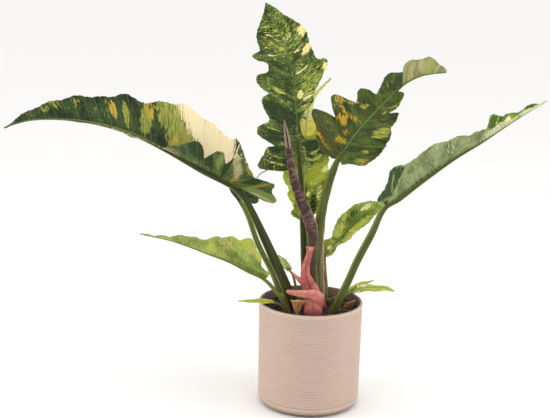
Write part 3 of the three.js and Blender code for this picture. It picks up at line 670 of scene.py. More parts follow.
def mark_strengths(leaf, sweep, out):
    """How strongly each kind of mark of a leaf shows at these places."""
    strengths = np.zeros((len(sweep), len(MARK_CHANNELS)))
    for kind, mark_sweep, mark_out, wide, long, strength, *slant in leaf.get("marks", []):
        from_middle = out - mark_out
        beside = sweep - mark_sweep - (slant[0] if slant else 0) * from_middle
        apart = (beside / wide) ** 2 + (from_middle / long) ** 2
        channel = MARK_CHANNELS[kind]
        strengths[:, channel] = np.maximum(strengths[:, channel], strength * np.exp(-apart**2))
    return strengths


print("Kinds of marks:", list(MARK_CHANNELS))

# %% [markdown]
# A blade has an even thickness, and its underside is another colour. The Solidify modifier makes both:
# it gives a sheet a wall, and the faces of one side a material slot of their own.

# %% Thickness
def thicken(sheet, thickness, underside_slot=0):
    """Gives a sheet this thickness in mm, half to each side, and its underside a later slot."""
    thick = sheet.modifiers.new("thickness", "SOLIDIFY")
    thick.thickness = thickness * MM
    thick.offset = 0
    thick.material_offset = underside_slot
    select_only(sheet)
    bpy.ops.object.modifier_apply(modifier=thick.name)


BLADE_THICKNESS = 0.8
print("Blades are", BLADE_THICKNESS, "mm thick")

# %% [markdown]
# A living edge is never a clean curve. It is nibbled by a few tenths of a millimetre, and it waves up
# and down over some centimetres, more towards the edge than near the midrib. Between the larger veins
# the tissue swells a little.

# %% A blade
WAVE_PHASE = 1.9
NIBBLE = 0.7
VEIN_GAP = 15
SWELL = 0.45


def lay_blade(leaf):
    """The blade of one leaf, with its place on the leaf and its marks kept as attributes."""
    length = leaf["line"].length
    starts, sweep = sweep_of(leaf)
    widest = max(point[1] for point in leaf["left"] + leaf["right"])
    columns = max(int(sweep[-1] / COLUMN_STEP), 12)
    rows = 2 * max(int(widest / ROW_STEP), 4)

    def place(u, v):
        reached = u * sweep[-1]
        start = np.interp(reached, sweep, starts)
        side = np.where(v > 0.5, 1.0, -1.0)
        share = np.abs(v - 0.5) * 2
        edges = [edge_at(leaf[key], length, start) for key in ("left", "right")]
        along, out, lift = np.where((side > 0)[:, None], *edges).T
        nibble = NIBBLE * (0.6 * np.sin(reached / 1.7 + side) + 0.4 * np.sin(reached / 0.83 + 2 * side))
        out = np.maximum(out + nibble * np.minimum(out / 12, 1), 0.3)
        phase = np.where(side > 0, 0, WAVE_PHASE)
        wave = leaf["wave"] * np.sin(2 * math.pi * start / leaf["wave_length"] + phase)
        wave += 0.5 * np.sin(reached / 5.3 + 3 * side) * np.minimum(out / 20, 1)
        forward = (along - start) * share * (0.8 + 0.2 * share)
        between = np.abs(np.sin(math.pi * (reached / VEIN_GAP + 0.3 * side)))
        swell = SWELL * np.sqrt(between) * np.sin(math.pi * share) * np.minimum(out / 15, 1)
        points = blade_point(leaf, side, start + forward, out * share, (lift + wave) * share**2 + swell)
        spot = np.stack([start, side * share * out, reached + 0.3 * VEIN_GAP * side], axis=1)
        return points, {"spot": spot, "marks": mark_strengths(leaf, reached, spot[:, 1])}

    blade = lay_sheet(columns, rows, place)
    for skin in ("upper", "under"):
        blade.data.materials.append(None)
    thicken(blade, BLADE_THICKNESS, underside_slot=1)
    return blade


print("The larger veins are", VEIN_GAP, "mm of sweep apart")

# %% [markdown]
# Stalks, stems, roots and rolled sheaths are all tubes round a line. A tube is a sheet as well: its
# columns are rings round the line, and its first and last ring are drawn together to a point. The
# paint reads how far along the tube a point lies, and where on the ring.

# %% Tubes
def lay_tube(centres, radii, sides, wide=(0, 1, 0), flat=1, shape=None):
    """A tube round a chain of centres, closed to a point at both ends. shape(turn, share) scales its
    radius round it and along it. Its fibre attribute holds the length along it, and the cosine and
    sine of the turn round it."""
    steps = np.linalg.norm(np.diff(centres, axis=0), axis=1)
    reach = np.concatenate([[0], np.cumsum(steps)])
    heading = unit(np.gradient(centres, axis=0))
    across = np.asarray(wide, float) - heading * (heading @ np.asarray(wide, float))[:, None]
    across = unit(across)
    deep = np.cross(across, heading)
    count = len(centres)

    def place(u, v):
        index = np.rint(u * (count + 1)).astype(int) - 1
        is_end = (index < 0) | (index >= count)
        index = np.clip(index, 0, count - 1)
        turn = 2 * math.pi * v
        scale = np.ones_like(u) if shape is None else shape(turn, index / (count - 1))
        radius = np.where(is_end, 0, radii[index] * scale)
        sideways = radius * np.cos(turn)
        inwards = radius * np.sin(turn) * flat
        points = centres[index] + across[index] * sideways[:, None] + deep[index] * inwards[:, None]
        return points, {"fibre": np.stack([reach[index], np.cos(turn), np.sin(turn)], axis=1)}

    return lay_sheet(count + 1, sides, place, closed=True)


print("A tube has one ring to each of its centres")

# %% [markdown]
# A stalk runs on below its blade as the midrib, ever thinner up to the tip, so both are one tube. Over
# the first millimetres of the blade the stalk's thickness goes over into the rib's, and the tube sinks
# below the blade, so that it stands out on the underside.

# %% A stalk and its midrib
RIB_MERGE = 22
RIB_TIP_RADIUS = 0.5
TUBE_STEP = 3
SINK_SHARE = 0.75
SINK_START = 10
SINK_LENGTH = 35
STALK_SIDES = 14
SMALL_STALK_SIDES = 8


def lay_stalk(leaf):
    """The tube of a leaf's stalk and midrib."""
    small = leaf.get("small")
    line = leaf["line"]
    along = np.arange(line.start, line.length - 1, TUBE_STEP)
    merge = RIB_MERGE * (0.4 if small else 1)
    stalk_radius = eased(leaf["stalk_radii"], (along - line.start) / (merge - line.start))
    rib_radius = leaf["rib_radius"] + (RIB_TIP_RADIUS - leaf["rib_radius"]) * along / line.length
    radii = np.where(along < 0, stalk_radius, np.maximum(stalk_radius * (along < merge), rib_radius))
    share = np.clip(along / line.length, 0, 1)
    heading = line.heading(along)
    face = eased(leaf["face"], share)
    face = unit(face - heading * np.sum(face * heading, axis=-1, keepdims=True))
    sink = leaf.get("rib_sink", SINK_SHARE) * radii * np.clip((along + SINK_START) / SINK_LENGTH, 0, 1)
    sides = SMALL_STALK_SIDES if small else STALK_SIDES
    return lay_tube(line.at(along) - face * sink[:, None], radii, sides)


print("A stalk has a ring every", TUBE_STEP, "mm")

# %% [markdown]
# ## The leaves
#
# Each table holds one leaf in the way told above. The radii run evenly along the stalk, from its foot
# to a little past the start of the blade, and the folds, in degrees, and the faces along the midrib.
# The marks are where its paint has patches: their kind, the sweep and the distance out at which each
# is centred, its width, its length, its strength and its slant. Right of the midrib, distances out are
# below 0.

# %% Leaf tables
LEAVES = {}


def describe(name):
    """Prints how much the table of a leaf holds."""
    leaf = LEAVES[name]
    edge_points = len(leaf["left"] + leaf["right"])
    print(name, "has", edge_points, "points on its edge and", len(leaf.get("marks", [])), "marks")


print("A table for each leaf follows")

# %% [markdown]
# The largest leaf reaches far to the left. It is folded like a trough: the far half shows its upper
# face, and of the near half only a narrow strip of the underside is seen, with its basal lobes curled up.

# %% Large left leaf
LEAVES["leaf_left_large"] = dict(
    stalk=[[-16, -4, 128], [-42, -10, 189], [-69, -14, 249], [-86.5, -17, 286], [-99.5, -18, 309]],
    midrib=[
        [-118, -20, 326], [-160, -26, 349], [-205, -34, 376], [-245, -42, 397], [-283, -50, 411],
        [-317, -56, 418.5], [-363, -60, 421.5], [-396, -62, 418], [-425, -62, 408],
    ],
    face=[
        [0.15, -0.25, 0.95], [0.1, -0.3, 0.95], [0, -0.35, 0.93], [-0.1, -0.5, 0.85], [-0.1, -0.6, 0.8],
    ],
    fold_left=[66, 64, 52, 28, 26, 34, 41, 44, 47], fold_right=[50, 52, 46, 36, 30],
    stalk_radii=[7.8, 7.6, 7.3, 6.4, 5.2, 4.4, 1.6], rib_radius=4.2, rib_sink=0.3,
    left=[
        [-14, 8], [-40, 12], [-60, 20], [-61, 30], [-47, 38], [-42, 52], [-20, 42], [-4, 40], [5, 52],
        [12, 62], [19, 61], [24, 38], [31, 46], [39, 58], [48, 57], [53, 42], [57, 28], [66, 46], [75, 62],
        [85, 67], [95, 60], [98, 44], [96, 33], [106, 41], [124, 46], [146, 44], [172, 47], [200, 38],
        [228, 37], [258, 31], [288, 23], [314, 11.5],
    ],
    right=[
        [-10, 9], [-28, 15], [-24, 28], [-6, 38], [4, 48], [18, 64], [26, 60], [46, 64], [80, 66], [97, 69],
        [113, 69], [121, 64], [138, 58], [152, 49], [168, 49], [183, 50], [198, 41], [214, 37], [230, 36],
        [256, 29], [282, 20], [308, 10],
    ],
    wave=1.3, wave_length=38, paint="dark", under="dark", stalk_paint="dark",
    # Dark marks on its left side, on the curled lobes of the near half and beside the midrib, are painted
    # shade.
    marks=[
        ("cream", 247, -62, 130, 60, 1.6, -1), ("lime", 330, -50, 5, 9, 1, -0.5),
        ("lime", 380, -40, 26, 50, 1.15), ("lime", 345, -26, 22, 26, 1.1), ("amber", 385, -18, 6, 12, 0.8),
        ("amber", 358, -26, 5, 18, 0.55), ("lime", 406, -46, 11, 24, 0.9), ("dark", 409, -12, 7, 13, 1.3),
        ("lime", 430, -28, 10, 28, 1, 0.3), ("amber", 424, -42, 7, 14, 0.85, 0.2),
        ("lime", 461, -24, 5, 20, 1.1), ("amber", 478, -25, 5, 13, 1.1), ("lime", 486, -24, 6, 16, 0.4),
        ("lime", 502, -20, 5, 6, 0.6), ("lime", 527, -24, 8, 9, 0.55), ("lime", 556, -20, 9, 8, 0.65),
        ("lime", 571, -15, 7, 7, 0.6), ("lime", 604, -9, 18, 7, 0.4), ("lime", 70, -34, 30, 20, 1),
        ("amber", 98, 35, 4, 20, 0.8, 0.9), ("lime", 62, 24, 24, 15, 1.2), ("cream", 56, 17, 9, 6, 0.9),
        ("cream", 166, 38, 14, 22, 0.75, 1.1), ("amber", 136, 14, 14, 9, 0.9, 1.2),
        ("cream", 184, 57, 10, 7, 1), ("lime", 241, 32, 6, 16, 0.9), ("cream", 238, 60, 14, 5, 0.9),
        ("cream", 290, 11, 70, 7, 0.35), ("dark", 200, 26, 15, 26, 1.2), ("dark", 262, 28, 14, 22, 0.9),
        ("dark", 318, 46, 26, 26, 1.2), ("dark", 355, 30, 12, 20, 0.8), ("dark", 118, 34, 16, 18, 1, 0.9),
        ("lime", 232, 42, 10, 16, 0.9), ("cream", 236, 44, 1.5, 11, 0.7), ("cream", 440, 30, 62, 24, 0.5),
        ("cream", 400, 12, 26, 16, 0.6), ("dark", 290, 5, 130, 4, 0.7),
    ],
)
describe("leaf_left_large")

# %% [markdown]
# A second long leaf lies behind the largest one and follows it to the left.

# %% Leaf behind it
LEAVES["leaf_left_rear"] = dict(
    stalk=[[-32, 10, 128], [-55.5, 16, 186], [-79, 20, 232], [-93.5, 24, 270]],
    midrib=[
        [-107, 28, 295], [-126, 42, 322], [-154, 64, 348], [-188, 90, 368], [-224, 118, 380],
        [-258, 144, 384], [-284, 166, 378],
    ],
    face=[[0.2, -0.1, 1], [0.1, -0.15, 1], [0, -0.15, 1]],
    fold_left=[24, 20, 14], fold_right=[22, 20, 14],
    stalk_radii=[5.2, 4.5, 4.3, 4.2, 4, 3.2, 1.2], rib_radius=2.4,
    left=[
        [-4, 8], [-14, 18], [-8, 32], [10, 34], [20, 26], [34, 40], [50, 43], [58, 32], [74, 44], [92, 44],
        [102, 33], [118, 40], [140, 35], [164, 30], [190, 20], [214, 9],
    ],
    right=[
        [-4, 8], [-14, 15], [-16, 26], [-6, 33], [6, 29], [22, 40], [42, 45], [52, 34], [66, 45], [86, 45],
        [96, 34], [114, 41], [138, 37], [166, 29], [192, 19], [216, 8],
    ],
    wave=3, wave_length=34, paint="dark", under="dark", stalk_paint="fresh",
)
describe("leaf_left_rear")

# %% [markdown]
# The tallest leaf stands upright with its face to the front. It is deeply lobed, with a narrow waist on
# its right side.

# %% Tall centre leaf
LEAVES["leaf_centre_tall"] = dict(
    stalk=[[-7, 6, 128], [-11, 8, 197], [-15, 12, 270], [-18, 16, 313], [-21, 20, 342]],
    midrib=[
        [-24, 26, 370], [-26, 34, 402], [-30, 44, 443], [-35, 54, 479], [-46, 62, 512], [-60, 70, 542],
        [-75, 76, 573],
    ],
    face=[[0, -1, 0.1], [0.05, -1, 0.15], [0.1, -1, 0.2], [0.1, -1, 0.25]],
    fold_left=[20, 14, 10, 6], fold_right=[8, 13, 10, 6],
    stalk_radii=[5.6, 4.8, 4.5, 4.4, 4.2, 3.6, 1.3], rib_radius=2.8, rib_sink=1.1,
    left=[
        [-8, 8], [-28, 17], [-27, 46], [-21, 63], [-3, 52], [5, 45], [0, 24], [10, 42], [22, 60], [35, 59],
        [42, 43], [48, 42], [61, 48], [76, 49.5], [83, 37], [87, 46], [101, 55], [116, 52.5], [118, 38],
        [126, 33], [135, 35], [144, 48], [153, 50], [157, 37], [168, 36], [184, 30], [204, 11],
    ],
    right=[
        [-8, 8], [-27, 13], [-19, 24, -2], [-8, 37, -6], [12, 30, -2], [15, 12], [26, 5], [40, 4], [53, 11],
        [66, 25], [76, 26], [84, 31], [99, 41], [110, 50], [119, 51], [122, 38], [138, 35], [156, 36],
        [168, 34], [186, 21], [204, 10],
    ],
    wave=3.4, wave_length=29, paint="speckled", under="dark", stalk_paint="dark",
    marks=[
        ("lime", 305, -26, 50, 28, 0.62), ("lime", 425, 0, 46, 34, 0.5), ("cream", 375, -28, 14, 9, 1.3),
        ("cream", 410, -31, 8, 8, 1.1), ("cream", 391, -17, 3, 16, 0.6), ("cream", 420, -8, 9, 10, 0.5),
        ("cream", 296, -8, 14, 5, 1), ("cream", 274, -19, 11, 10, 1), ("cream", 259, -9, 2, 5, 0.8),
        ("cream", 316, -48, 14, 5, 0.8), ("cream", 348, -13, 3, 13, 0.8), ("cream", 292, -28, 20, 12, 0.35),
        ("cream", 393, 22, 2.5, 9, 0.7), ("cream", 408, 26, 2, 5, 0.8), ("cream", 432, 15, 12, 12, 0.4),
        ("cream", 296, 24, 5, 14, 0.45), ("lime", 298, 26, 9, 18, 0.7), ("lime", 190, 36, 4, 13, 0.7),
        ("lime", 250, -16, 12, 10, 0.7), ("lime", 55, 36, 3, 20, 0.9, 1.5),
        ("lime", 74, 36, 3, 18, 0.9, 1.8), ("cream", 64, 42, 1.5, 14, 0.7, 1.5),
        ("lime", 92, 42, 2, 14, 0.7, 1.5), ("lime", 55, -23, 3, 17, 1, -1.4),
        ("lime", 72, -26, 3, 14, 0.9, -1.4), ("amber", 88, -33, 9, 5, 0.8), ("lime", 60, -9, 30, 3, 0.6),
        ("dark", 60, 30, 50, 34, 0.6), ("dark", 40, 20, 26, 12, 1), ("dark", 92, -22, 26, 18, 1.3),
        ("dark", 52, -16, 12, 8, 0.8), ("dark", 110, 30, 34, 24, 1), ("dark", 174, 32, 26, 26, 0.95),
        ("dark", 232, 24, 30, 36, 1), ("dark", 80, -16, 26, 9, 1), ("dark", 368, 20, 16, 18, 0.75),
        ("dark", 326, 18, 16, 18, 0.5), ("dark", 275, 14, 8, 14, 0.7), ("dark", 232, 5, 120, 4, 0.7),
    ],
)
describe("leaf_centre_tall")

# %% [markdown]
# Behind the waist of the tall leaf stands a thin young leaf that the light shines through.

# %% Centre leaf behind it
LEAVES["leaf_centre_rear"] = dict(
    stalk=[[-2, 24, 128], [-5, 30, 190], [-7, 38, 234]],
    midrib=[
        [-11, 46, 262], [-12, 52, 290], [-13, 58, 334], [-13, 64, 370], [-12, 70, 406], [-5, 76, 436],
        [22, 84, 466],
    ],
    face=[[0, -1, 0.1], [0, -1, 0.15], [0, -1, 0.2], [0, -1, 0.25]],
    fold_left=[16, 12, 10, 6], fold_right=[16, 12, 10, 6],
    stalk_radii=[4.6, 4, 3.7, 3.5, 2.8, 1.1], rib_radius=2.1, rib_sink=1.2,
    left=[
        [0, 8], [9, 21], [19, 17], [36, 26], [46, 24], [60, 32], [76, 31], [84, 25], [98, 34], [116, 31],
        [124, 22], [138, 24], [156, 14], [178, 6], [204, 2],
    ],
    right=[
        [0, 7], [14, 21], [32, 31], [44, 28], [60, 37], [72, 38], [79, 34], [92, 36], [104, 28], [126, 22],
        [141, 15], [154, 10], [168, 6], [186, 4], [206, 2],
    ],
    wave=2, wave_length=30, paint="glowing", under="fresh", stalk_paint="pale",
    # The dark mark at sweep 163 is a painted shadow.
    marks=[
        ("lime", 182, 0, 22, 24, 1.3), ("cream", 236, -2, 34, 14, 1.4), ("amber", 192, -5, 14, 14, 1.1),
        ("cream", 208, 2, 10, 10, 0.7), ("dark", 163, -9, 14, 11, 1.2), ("dark", 135, -18, 8, 12, 0.5),
        ("cream", 151, -3, 2, 3, 1), ("lime", 76, 24, 44, 12, 1.1), ("dark", 20, 13, 16, 8, 0.45),
        ("lime", 108, -18, 20, 20, 1.1), ("cream", 110, -31, 6, 6, 1.1), ("cream", 77, -5, 8, 3, 1),
        ("cream", 70, -22, 24, 5, 0.6, -0.6), ("cream", 97, -10, 2, 3, 0.9), ("cream", 122, -5, 2, 4, 0.9),
        ("cream", 90, -20, 16, 8, 0.4), ("dark", 50, -13, 34, 6, 0.85), ("dark", 62, -1, 60, 5, 0.9),
        ("dark", 66, 16, 2, 12, 0.8), ("dark", 94, 18, 2, 12, 0.8),
    ],
)
describe("leaf_centre_rear")

# %% [markdown]
# This leaf rises right of the middle and bends over, so that its tip shows the underside.

# %% Middle right leaf
LEAVES["leaf_right_middle"] = dict(
    stalk=[[12, -3, 128], [7, 2, 199], [7, 6, 243], [13, 10, 292], [22, 14, 328]],
    midrib=[
        [33, 18, 359], [45, 22, 377], [58, 28, 396], [86, 40, 426], [107, 48, 447], [124, 54, 464],
        [151, 58, 477], [186, 58, 482],
    ],
    face=[
        [-0.15, -0.9, 0.35], [-0.15, -0.9, 0.35], [-0.15, -0.88, 0.4], [-0.2, -0.8, 0.5], [-0.25, -0.7, 0.6],
        [-0.3, -0.35, 0.85], [-0.3, 0.3, 0.9], [-0.25, 0.4, 0.9], [-0.2, 0.45, 0.9],
    ],
    fold_left=[14, 14, 12, 12, 14, 30, 55, 58, 58], fold_right=[14, 14, 12, 12, 14, 30, 44, 46, 46],
    stalk_radii=[8.8, 8.4, 8.2, 7.4, 6.6, 5.4, 1.7], rib_radius=3.4, rib_sink=1.05,
    left=[
        [-3, 9], [-1, 17, -2], [-1, 25, -3], [3, 35, -2], [9, 44], [23, 55, 2], [36, 68, 7], [43, 54, 2],
        [46, 38, -3], [51, 48, -2], [60, 59, 6], [70, 51, 4], [76, 40, -2], [80, 30, -3], [90, 37, 3],
        [98, 40, 4], [105, 31], [107, 18, -2], [117, 22], [128, 26], [146, 25], [168, 25], [190, 16],
        [204, 9],
    ],
    right=[
        [-4, 10], [4, 22], [12, 38, 3], [22, 45, 5], [34, 48, -4], [54, 51, 5], [58, 47, -3], [68, 48, 4],
        [77, 43, -3], [84, 36, -3], [103, 38, 4], [95, 20, -2], [117, 31, 3], [126, 43], [128, 20],
        [140, 28], [156, 29], [170, 30], [182, 28], [194, 21], [204, 13],
    ],
    wave=3, wave_length=30, paint="olive", under="striped", stalk_paint="warm",
    marks=[
        ("dark", 82, 36, 22, 34, 1.35), ("dark", 140, 18, 30, 14, 0.9), ("dark", 44, 30, 22, 24, 1.1),
        ("dark", 152, 44, 7, 16, 0.9), ("amber", 57, 30, 7, 22, 0.5, 0.5), ("amber", 60, 44, 2.5, 8, 0.9),
        ("amber", 110, 14, 11, 9, 0.8, -0.8), ("amber", 118, 8, 9, 4, 0.8, -0.8),
        ("amber", 142, 34, 17, 4, 0.9), ("amber", 142, 14, 16, 7, 0.55), ("amber", 157, 25, 6, 7, 1.1),
        ("amber", 164, 33, 4, 24, 0.65, -0.33), ("amber", 164, 47, 4, 6, 1),
        ("amber", 176, 14, 5, 12, 0.55, -0.5), ("amber", 108, 40, 8, 18, 0.4),
        ("amber", 182, 33, 3, 5, 0.8, -1.5), ("lime", 201, 18, 5, 5, 1, -1.5),
        ("amber", 66, -30, 12, 4, 0.7), ("lime", 190, 30, 4, 24, 0.7, -1.5), ("lime", 158, 50, 8, 8, 0.6),
        ("lime", 290, 14, 44, 12, 0.4), ("dark", 202, 12, 14, 9, 0.9), ("dark", 202, -20, 12, 18, 0.7),
        ("dark", 128, -24, 26, 16, 0.45), ("lime", 60, -32, 34, 12, 0.75), ("amber", 50, -34, 20, 7, 0.5),
        ("lime", 107, -29, 6, 6, 0.9), ("lime", 176, -32, 14, 14, 0.8), ("lime", 230, -13, 14, 4, 1.1),
        ("lime", 265, -24, 20, 14, 0.55), ("lime", 60, -9, 36, 4, 0.5), ("cream", 348, -12, 6, 22, 0.75),
        ("cream", 360, -20, 4, 14, 0.9, 0.3), ("cream", 386, -10, 4, 14, 0.9),
        ("lime", 372, -12, 12, 14, 0.7),
    ],
)
describe("leaf_right_middle")

# %% [markdown]
# The leaf on the right turns its grey-green underside to the front.

# %% Large right leaf
LEAVES["leaf_right_large"] = dict(
    stalk=[[25, -21, 128], [49.5, -30, 189], [63, -36, 226], [80.5, -42, 266]],
    midrib=[
        [97, -48, 306], [114, -52, 320], [146, -60, 349], [188, -72, 385], [219, -82, 408], [248, -92, 432],
        [275, -100, 453], [298, -106, 469],
    ],
    face=[[-0.5, 0.15, 0.85], [-0.5, 0.1, 0.85], [-0.5, 0.1, 0.85], [-0.5, 0, 0.85]],
    fold_left=[44, 38, 14, 12, 12, 26, 40, 30, 20], fold_right=[50, 50, 46, 34],
    stalk_radii=[6.6, 5.8, 5.5, 5.4, 5.3, 4.4, 1.5], rib_radius=3.4, rib_sink=0.6,
    left=[
        [2, 6], [7, 13], [12, 17], [18, 25], [22, 38], [30, 50], [41, 41], [54, 46], [72, 48], [84, 39],
        [100, 45], [124, 43], [148, 34], [164, 26], [173, 21], [182, 26], [190, 32], [197, 28], [205, 19],
        [220, 14], [240, 11], [256, 6],
    ],
    right=[
        [0, 8], [2, 18], [10, 25], [20, 31], [35, 42], [46, 49], [60, 50], [69, 45], [83, 41], [96, 45],
        [112, 44], [128, 39], [148, 33], [164, 24], [180, 19], [198, 12], [218, 9], [240, 9], [258, 6],
    ],
    wave=1.4, wave_length=33, paint="pale", under="grey", stalk_paint="olive",
    marks=[
        ("dark", 322, 6, 18, 9, 0.75), ("cream", 293, 7, 5, 5, 1.3), ("dark", 270, 18, 16, 12, 1.4),
        ("lime", 274, 16, 3, 9, 0.8), ("dark", 90, -36, 24, 16, 1.4), ("dark", 50, -20, 34, 12, 1.2),
        ("dark", 24, -14, 22, 16, 1.1), ("lime", 88, -30, 2.5, 14, 1, -0.8), ("dark", 108, -41, 9, 6, 1.2),
        ("lime", 8, -8, 12, 9, 1), ("lime", 104, -27, 4, 26, 0.8, -1.2), ("lime", 46, -12, 34, 4, 0.6),
        ("dark", 280, -10, 9, 4, 1), ("cream", 196, -24, 14, 16, 0.38), ("cream", 222, -14, 10, 14, 0.3),
        ("cream", 282, -5, 44, 12, 0.7), ("cream", 334, -4, 26, 8, 0.95), ("cream", 175, -38, 14, 9, 0.45),
        ("cream", 160, -24, 30, 20, 0.25), ("dark", 130, -4, 90, 3, 0.7),
    ],
)
describe("leaf_right_large")

# %% [markdown]
# A small, light leaf stands over the right side of the pot.

# %% Inner right leaf
LEAVES["leaf_right_inner"] = dict(
    stalk=[[23, 25, 128], [22.5, 27, 169], [20, 30, 194]],
    midrib=[
        [20, 34, 212], [27, 35, 222], [42, 38, 239], [59, 42, 258], [78, 44, 275], [101, 46, 286],
        [112, 47, 290],
    ],
    face=[[-0.3, -0.85, 0.35], [-0.3, -0.8, 0.5], [-0.3, -0.7, 0.6]],
    fold_left=[16, 14, 10], fold_right=[16, 20, 20],
    stalk_radii=[2.9, 2.7, 2.5, 2], rib_radius=1.3, rib_sink=1,
    left=[[-2, 6], [6, 10], [16, 15], [25, 10], [35, 15], [52, 21], [68, 21], [84, 19], [100, 13]],
    right=[[-1, 5], [8, 9], [17, 8], [25, 7], [42, 15], [58, 15], [77, 19], [94, 14], [108, 6]],
    wave=1, wave_length=22, paint="pale", under="fresh", stalk_paint="pale",
    small=True,
    marks=[
        ("dark", 91, 12, 4, 3, 1.5), ("dark", 88, 7, 22, 8, 0.7), ("dark", 75, -1, 50, 2, 1.4),
        ("lime", 56, 9, 18, 8, 1.1), ("lime", 80, -11, 40, 7, 1), ("lime", 78, 17, 6, 4, 1),
        ("cream", 68, 6, 2, 9, 0.8), ("cream", 26, 1, 5, 4, 1.2), ("cream", 114, 8, 12, 4, 0.9),
        ("cream", 60, -14, 26, 4, 0.5), ("amber", 100, -15, 8, 3, 0.7),
    ],
)
describe("leaf_right_inner")

# %% [markdown]
# A thin, light green leaf with ragged lobes hangs over the left side of the pot.

# %% Lower left leaf
LEAVES["leaf_left_lower"] = dict(
    stalk=[[-27, -14, 128], [-41, -17, 160], [-57, -20, 179]],
    midrib=[
        [-68, -24, 191], [-92, -30, 205], [-119, -38, 221], [-146, -46, 233], [-172, -54, 245],
        [-198, -60, 255], [-240, -67, 265],
    ],
    face=[[0.2, 0.1, 0.95], [0.2, 0.1, 0.95], [0.2, 0.1, 0.95]],
    fold_left=[46, 46, 40], fold_right=[12, 12, 12],
    stalk_radii=[4, 3.3, 2.8, 1], rib_radius=1.9,
    left=[
        [0, 7], [3, 18], [9, 17], [20, 25], [25, 33], [34, 43], [48, 52], [62, 61], [70, 53], [80, 51],
        [92, 47], [104, 37], [115, 26], [129, 24], [141, 20], [155, 11], [170, 6],
    ],
    right=[
        [-2, 8], [-6, 20], [8, 28], [20, 25], [34, 40], [50, 49], [64, 42], [78, 47], [96, 40], [114, 30],
        [132, 25], [152, 13], [170, 6],
    ],
    wave=1.2, wave_length=26, paint="pale", under="blushed", stalk_paint="pale",
    marks=[
        ("lime", 95, 48, 60, 18, 0.6), ("cream", 138, 38, 16, 14, 0.5), ("cream", 86, 40, 20, 10, 0.45),
        ("dark", 30, 5, 44, 6, 1.1), ("dark", 62, 22, 26, 12, 0.65), ("dark", 100, 14, 30, 9, 0.55),
        ("dark", 85, 6, 50, 5, 0.8), ("dark", 126, 18, 16, 10, 0.75), ("lime", 158, 16, 14, 10, 0.6),
        ("cream", 44, 34, 9, 9, 0.6), ("lime", 60, 38, 26, 10, 0.9),
    ],
)
describe("leaf_left_lower")

# %% [markdown]
# Four small leaves stand low among the stalks. Their blades are narrow and have no lobes, and their
# stalks are so thin that a tube of a few sides will do. The first reaches over the rim at the left.

# %% Sliver at the left
LEAVES["leaf_left_sliver"] = dict(
    stalk=[[-32, -21, 128], [-40, -23, 149]],
    midrib=[[-51, -26, 157], [-70, -29, 159.5], [-88, -31, 160], [-105, -33, 160.5]],
    face=[[0, -0.25, 1], [0, -0.3, 1]],
    fold_left=[20, 10], fold_right=[20, 10],
    stalk_radii=[1.9, 1.6, 1.4], rib_radius=0.8,
    left=[[4, 4], [16, 6], [30, 5], [42, 3]],
    right=[[4, 4], [16, 6], [30, 5], [42, 3]],
    wave=0.4, wave_length=20, paint="pale", under="fresh", stalk_paint="pale",
    small=True,
    marks=[("lime", 50, 0, 70, 14, 1.1), ("cream", 60, -3, 40, 3, 0.5)],
)
describe("leaf_left_sliver")

# %% [markdown]
# The second reaches over the rim at the right. Near its foot it is pale, with a small dark spot.

# %% Small right leaf
LEAVES["leaf_right_small"] = dict(
    stalk=[[31, 18, 128], [47, 18, 151]],
    midrib=[[58, 17, 161], [72, 16, 168], [90, 14, 171], [109, 12, 171], [122, 10, 167]],
    face=[[0, -0.5, 0.85], [0, -0.5, 0.85]],
    fold_left=[20, 10], fold_right=[20, 10],
    stalk_radii=[2.4, 2, 1.7], rib_radius=1,
    left=[[2, 4], [14, 7], [28, 6], [36, 4], [46, 4], [58, 3]],
    right=[[2, 4], [14, 8], [30, 9], [46, 8], [58, 4]],
    wave=0.6, wave_length=24, paint="pale", under="fresh", stalk_paint="pale",
    small=True,
    marks=[
        ("cream", 22, 5, 12, 4, 0.9), ("lime", 44, 0, 40, 10, 1.2), ("dark", 8, -2, 4, 2, 0.8),
        ("cream", 10, -6, 6, 3, 0.8),
    ],
)
describe("leaf_right_small")

# %% [markdown]
# The third reaches over the rim behind the second one.

# %% Sliver at the right
LEAVES["leaf_right_sliver"] = dict(
    stalk=[[33, 31, 128], [44, 34, 148]],
    midrib=[[54, 37, 156], [68, 44, 162], [82, 48, 167], [94, 52, 170]],
    face=[[0, -0.4, 0.9], [0, -0.4, 0.9]],
    fold_left=[16, 8], fold_right=[16, 8],
    stalk_radii=[1.8, 1.5, 1.3], rib_radius=0.8,
    left=[[3, 3], [12, 5], [26, 5], [36, 2.5]],
    right=[[3, 3], [12, 5], [26, 5], [36, 2.5]],
    wave=0.3, wave_length=20, paint="pale", under="fresh", stalk_paint="pale",
    small=True,
    marks=[("lime", 30, 0, 40, 8, 1)],
)
describe("leaf_right_sliver")

# %% [markdown]
# The last one bends away to the back.

# %% Small curled leaf
LEAVES["leaf_small_curled"] = dict(
    stalk=[[-19, 22, 128], [-21, 24, 160], [-27, 27, 184]],
    midrib=[[-31, 30, 189], [-38, 40, 194], [-46, 54, 198], [-53, 72, 199]],
    face=[[-0.2, -0.3, 1], [-0.2, -0.3, 1]],
    fold_left=[20, 12], fold_right=[14, 8],
    stalk_radii=[2.4, 2, 1.8], rib_radius=1,
    left=[[0, 4], [10, 6.5], [26, 7], [42, 5]],
    right=[[0, 4], [10, 6], [26, 6.5], [42, 5]],
    wave=0.5, wave_length=22, paint="pale", under="fresh", stalk_paint="pale",
    small=True,
    marks=[("lime", 24, 1, 30, 6, 0.9), ("cream", 26, 1, 22, 3, 0.7)],
)
describe("leaf_small_curled")

# %% [markdown]
# ## The skins of the leaves
#
# The colours of a leaf run with its veins, so its paint reads the two attributes that were kept with
# the blade: spot, the place on the leaf in mm, and marks, the strength of each kind of mark. Ping-pong
# turns the ever growing sweep into the distance from the nearest larger vein, as a share of their gap.

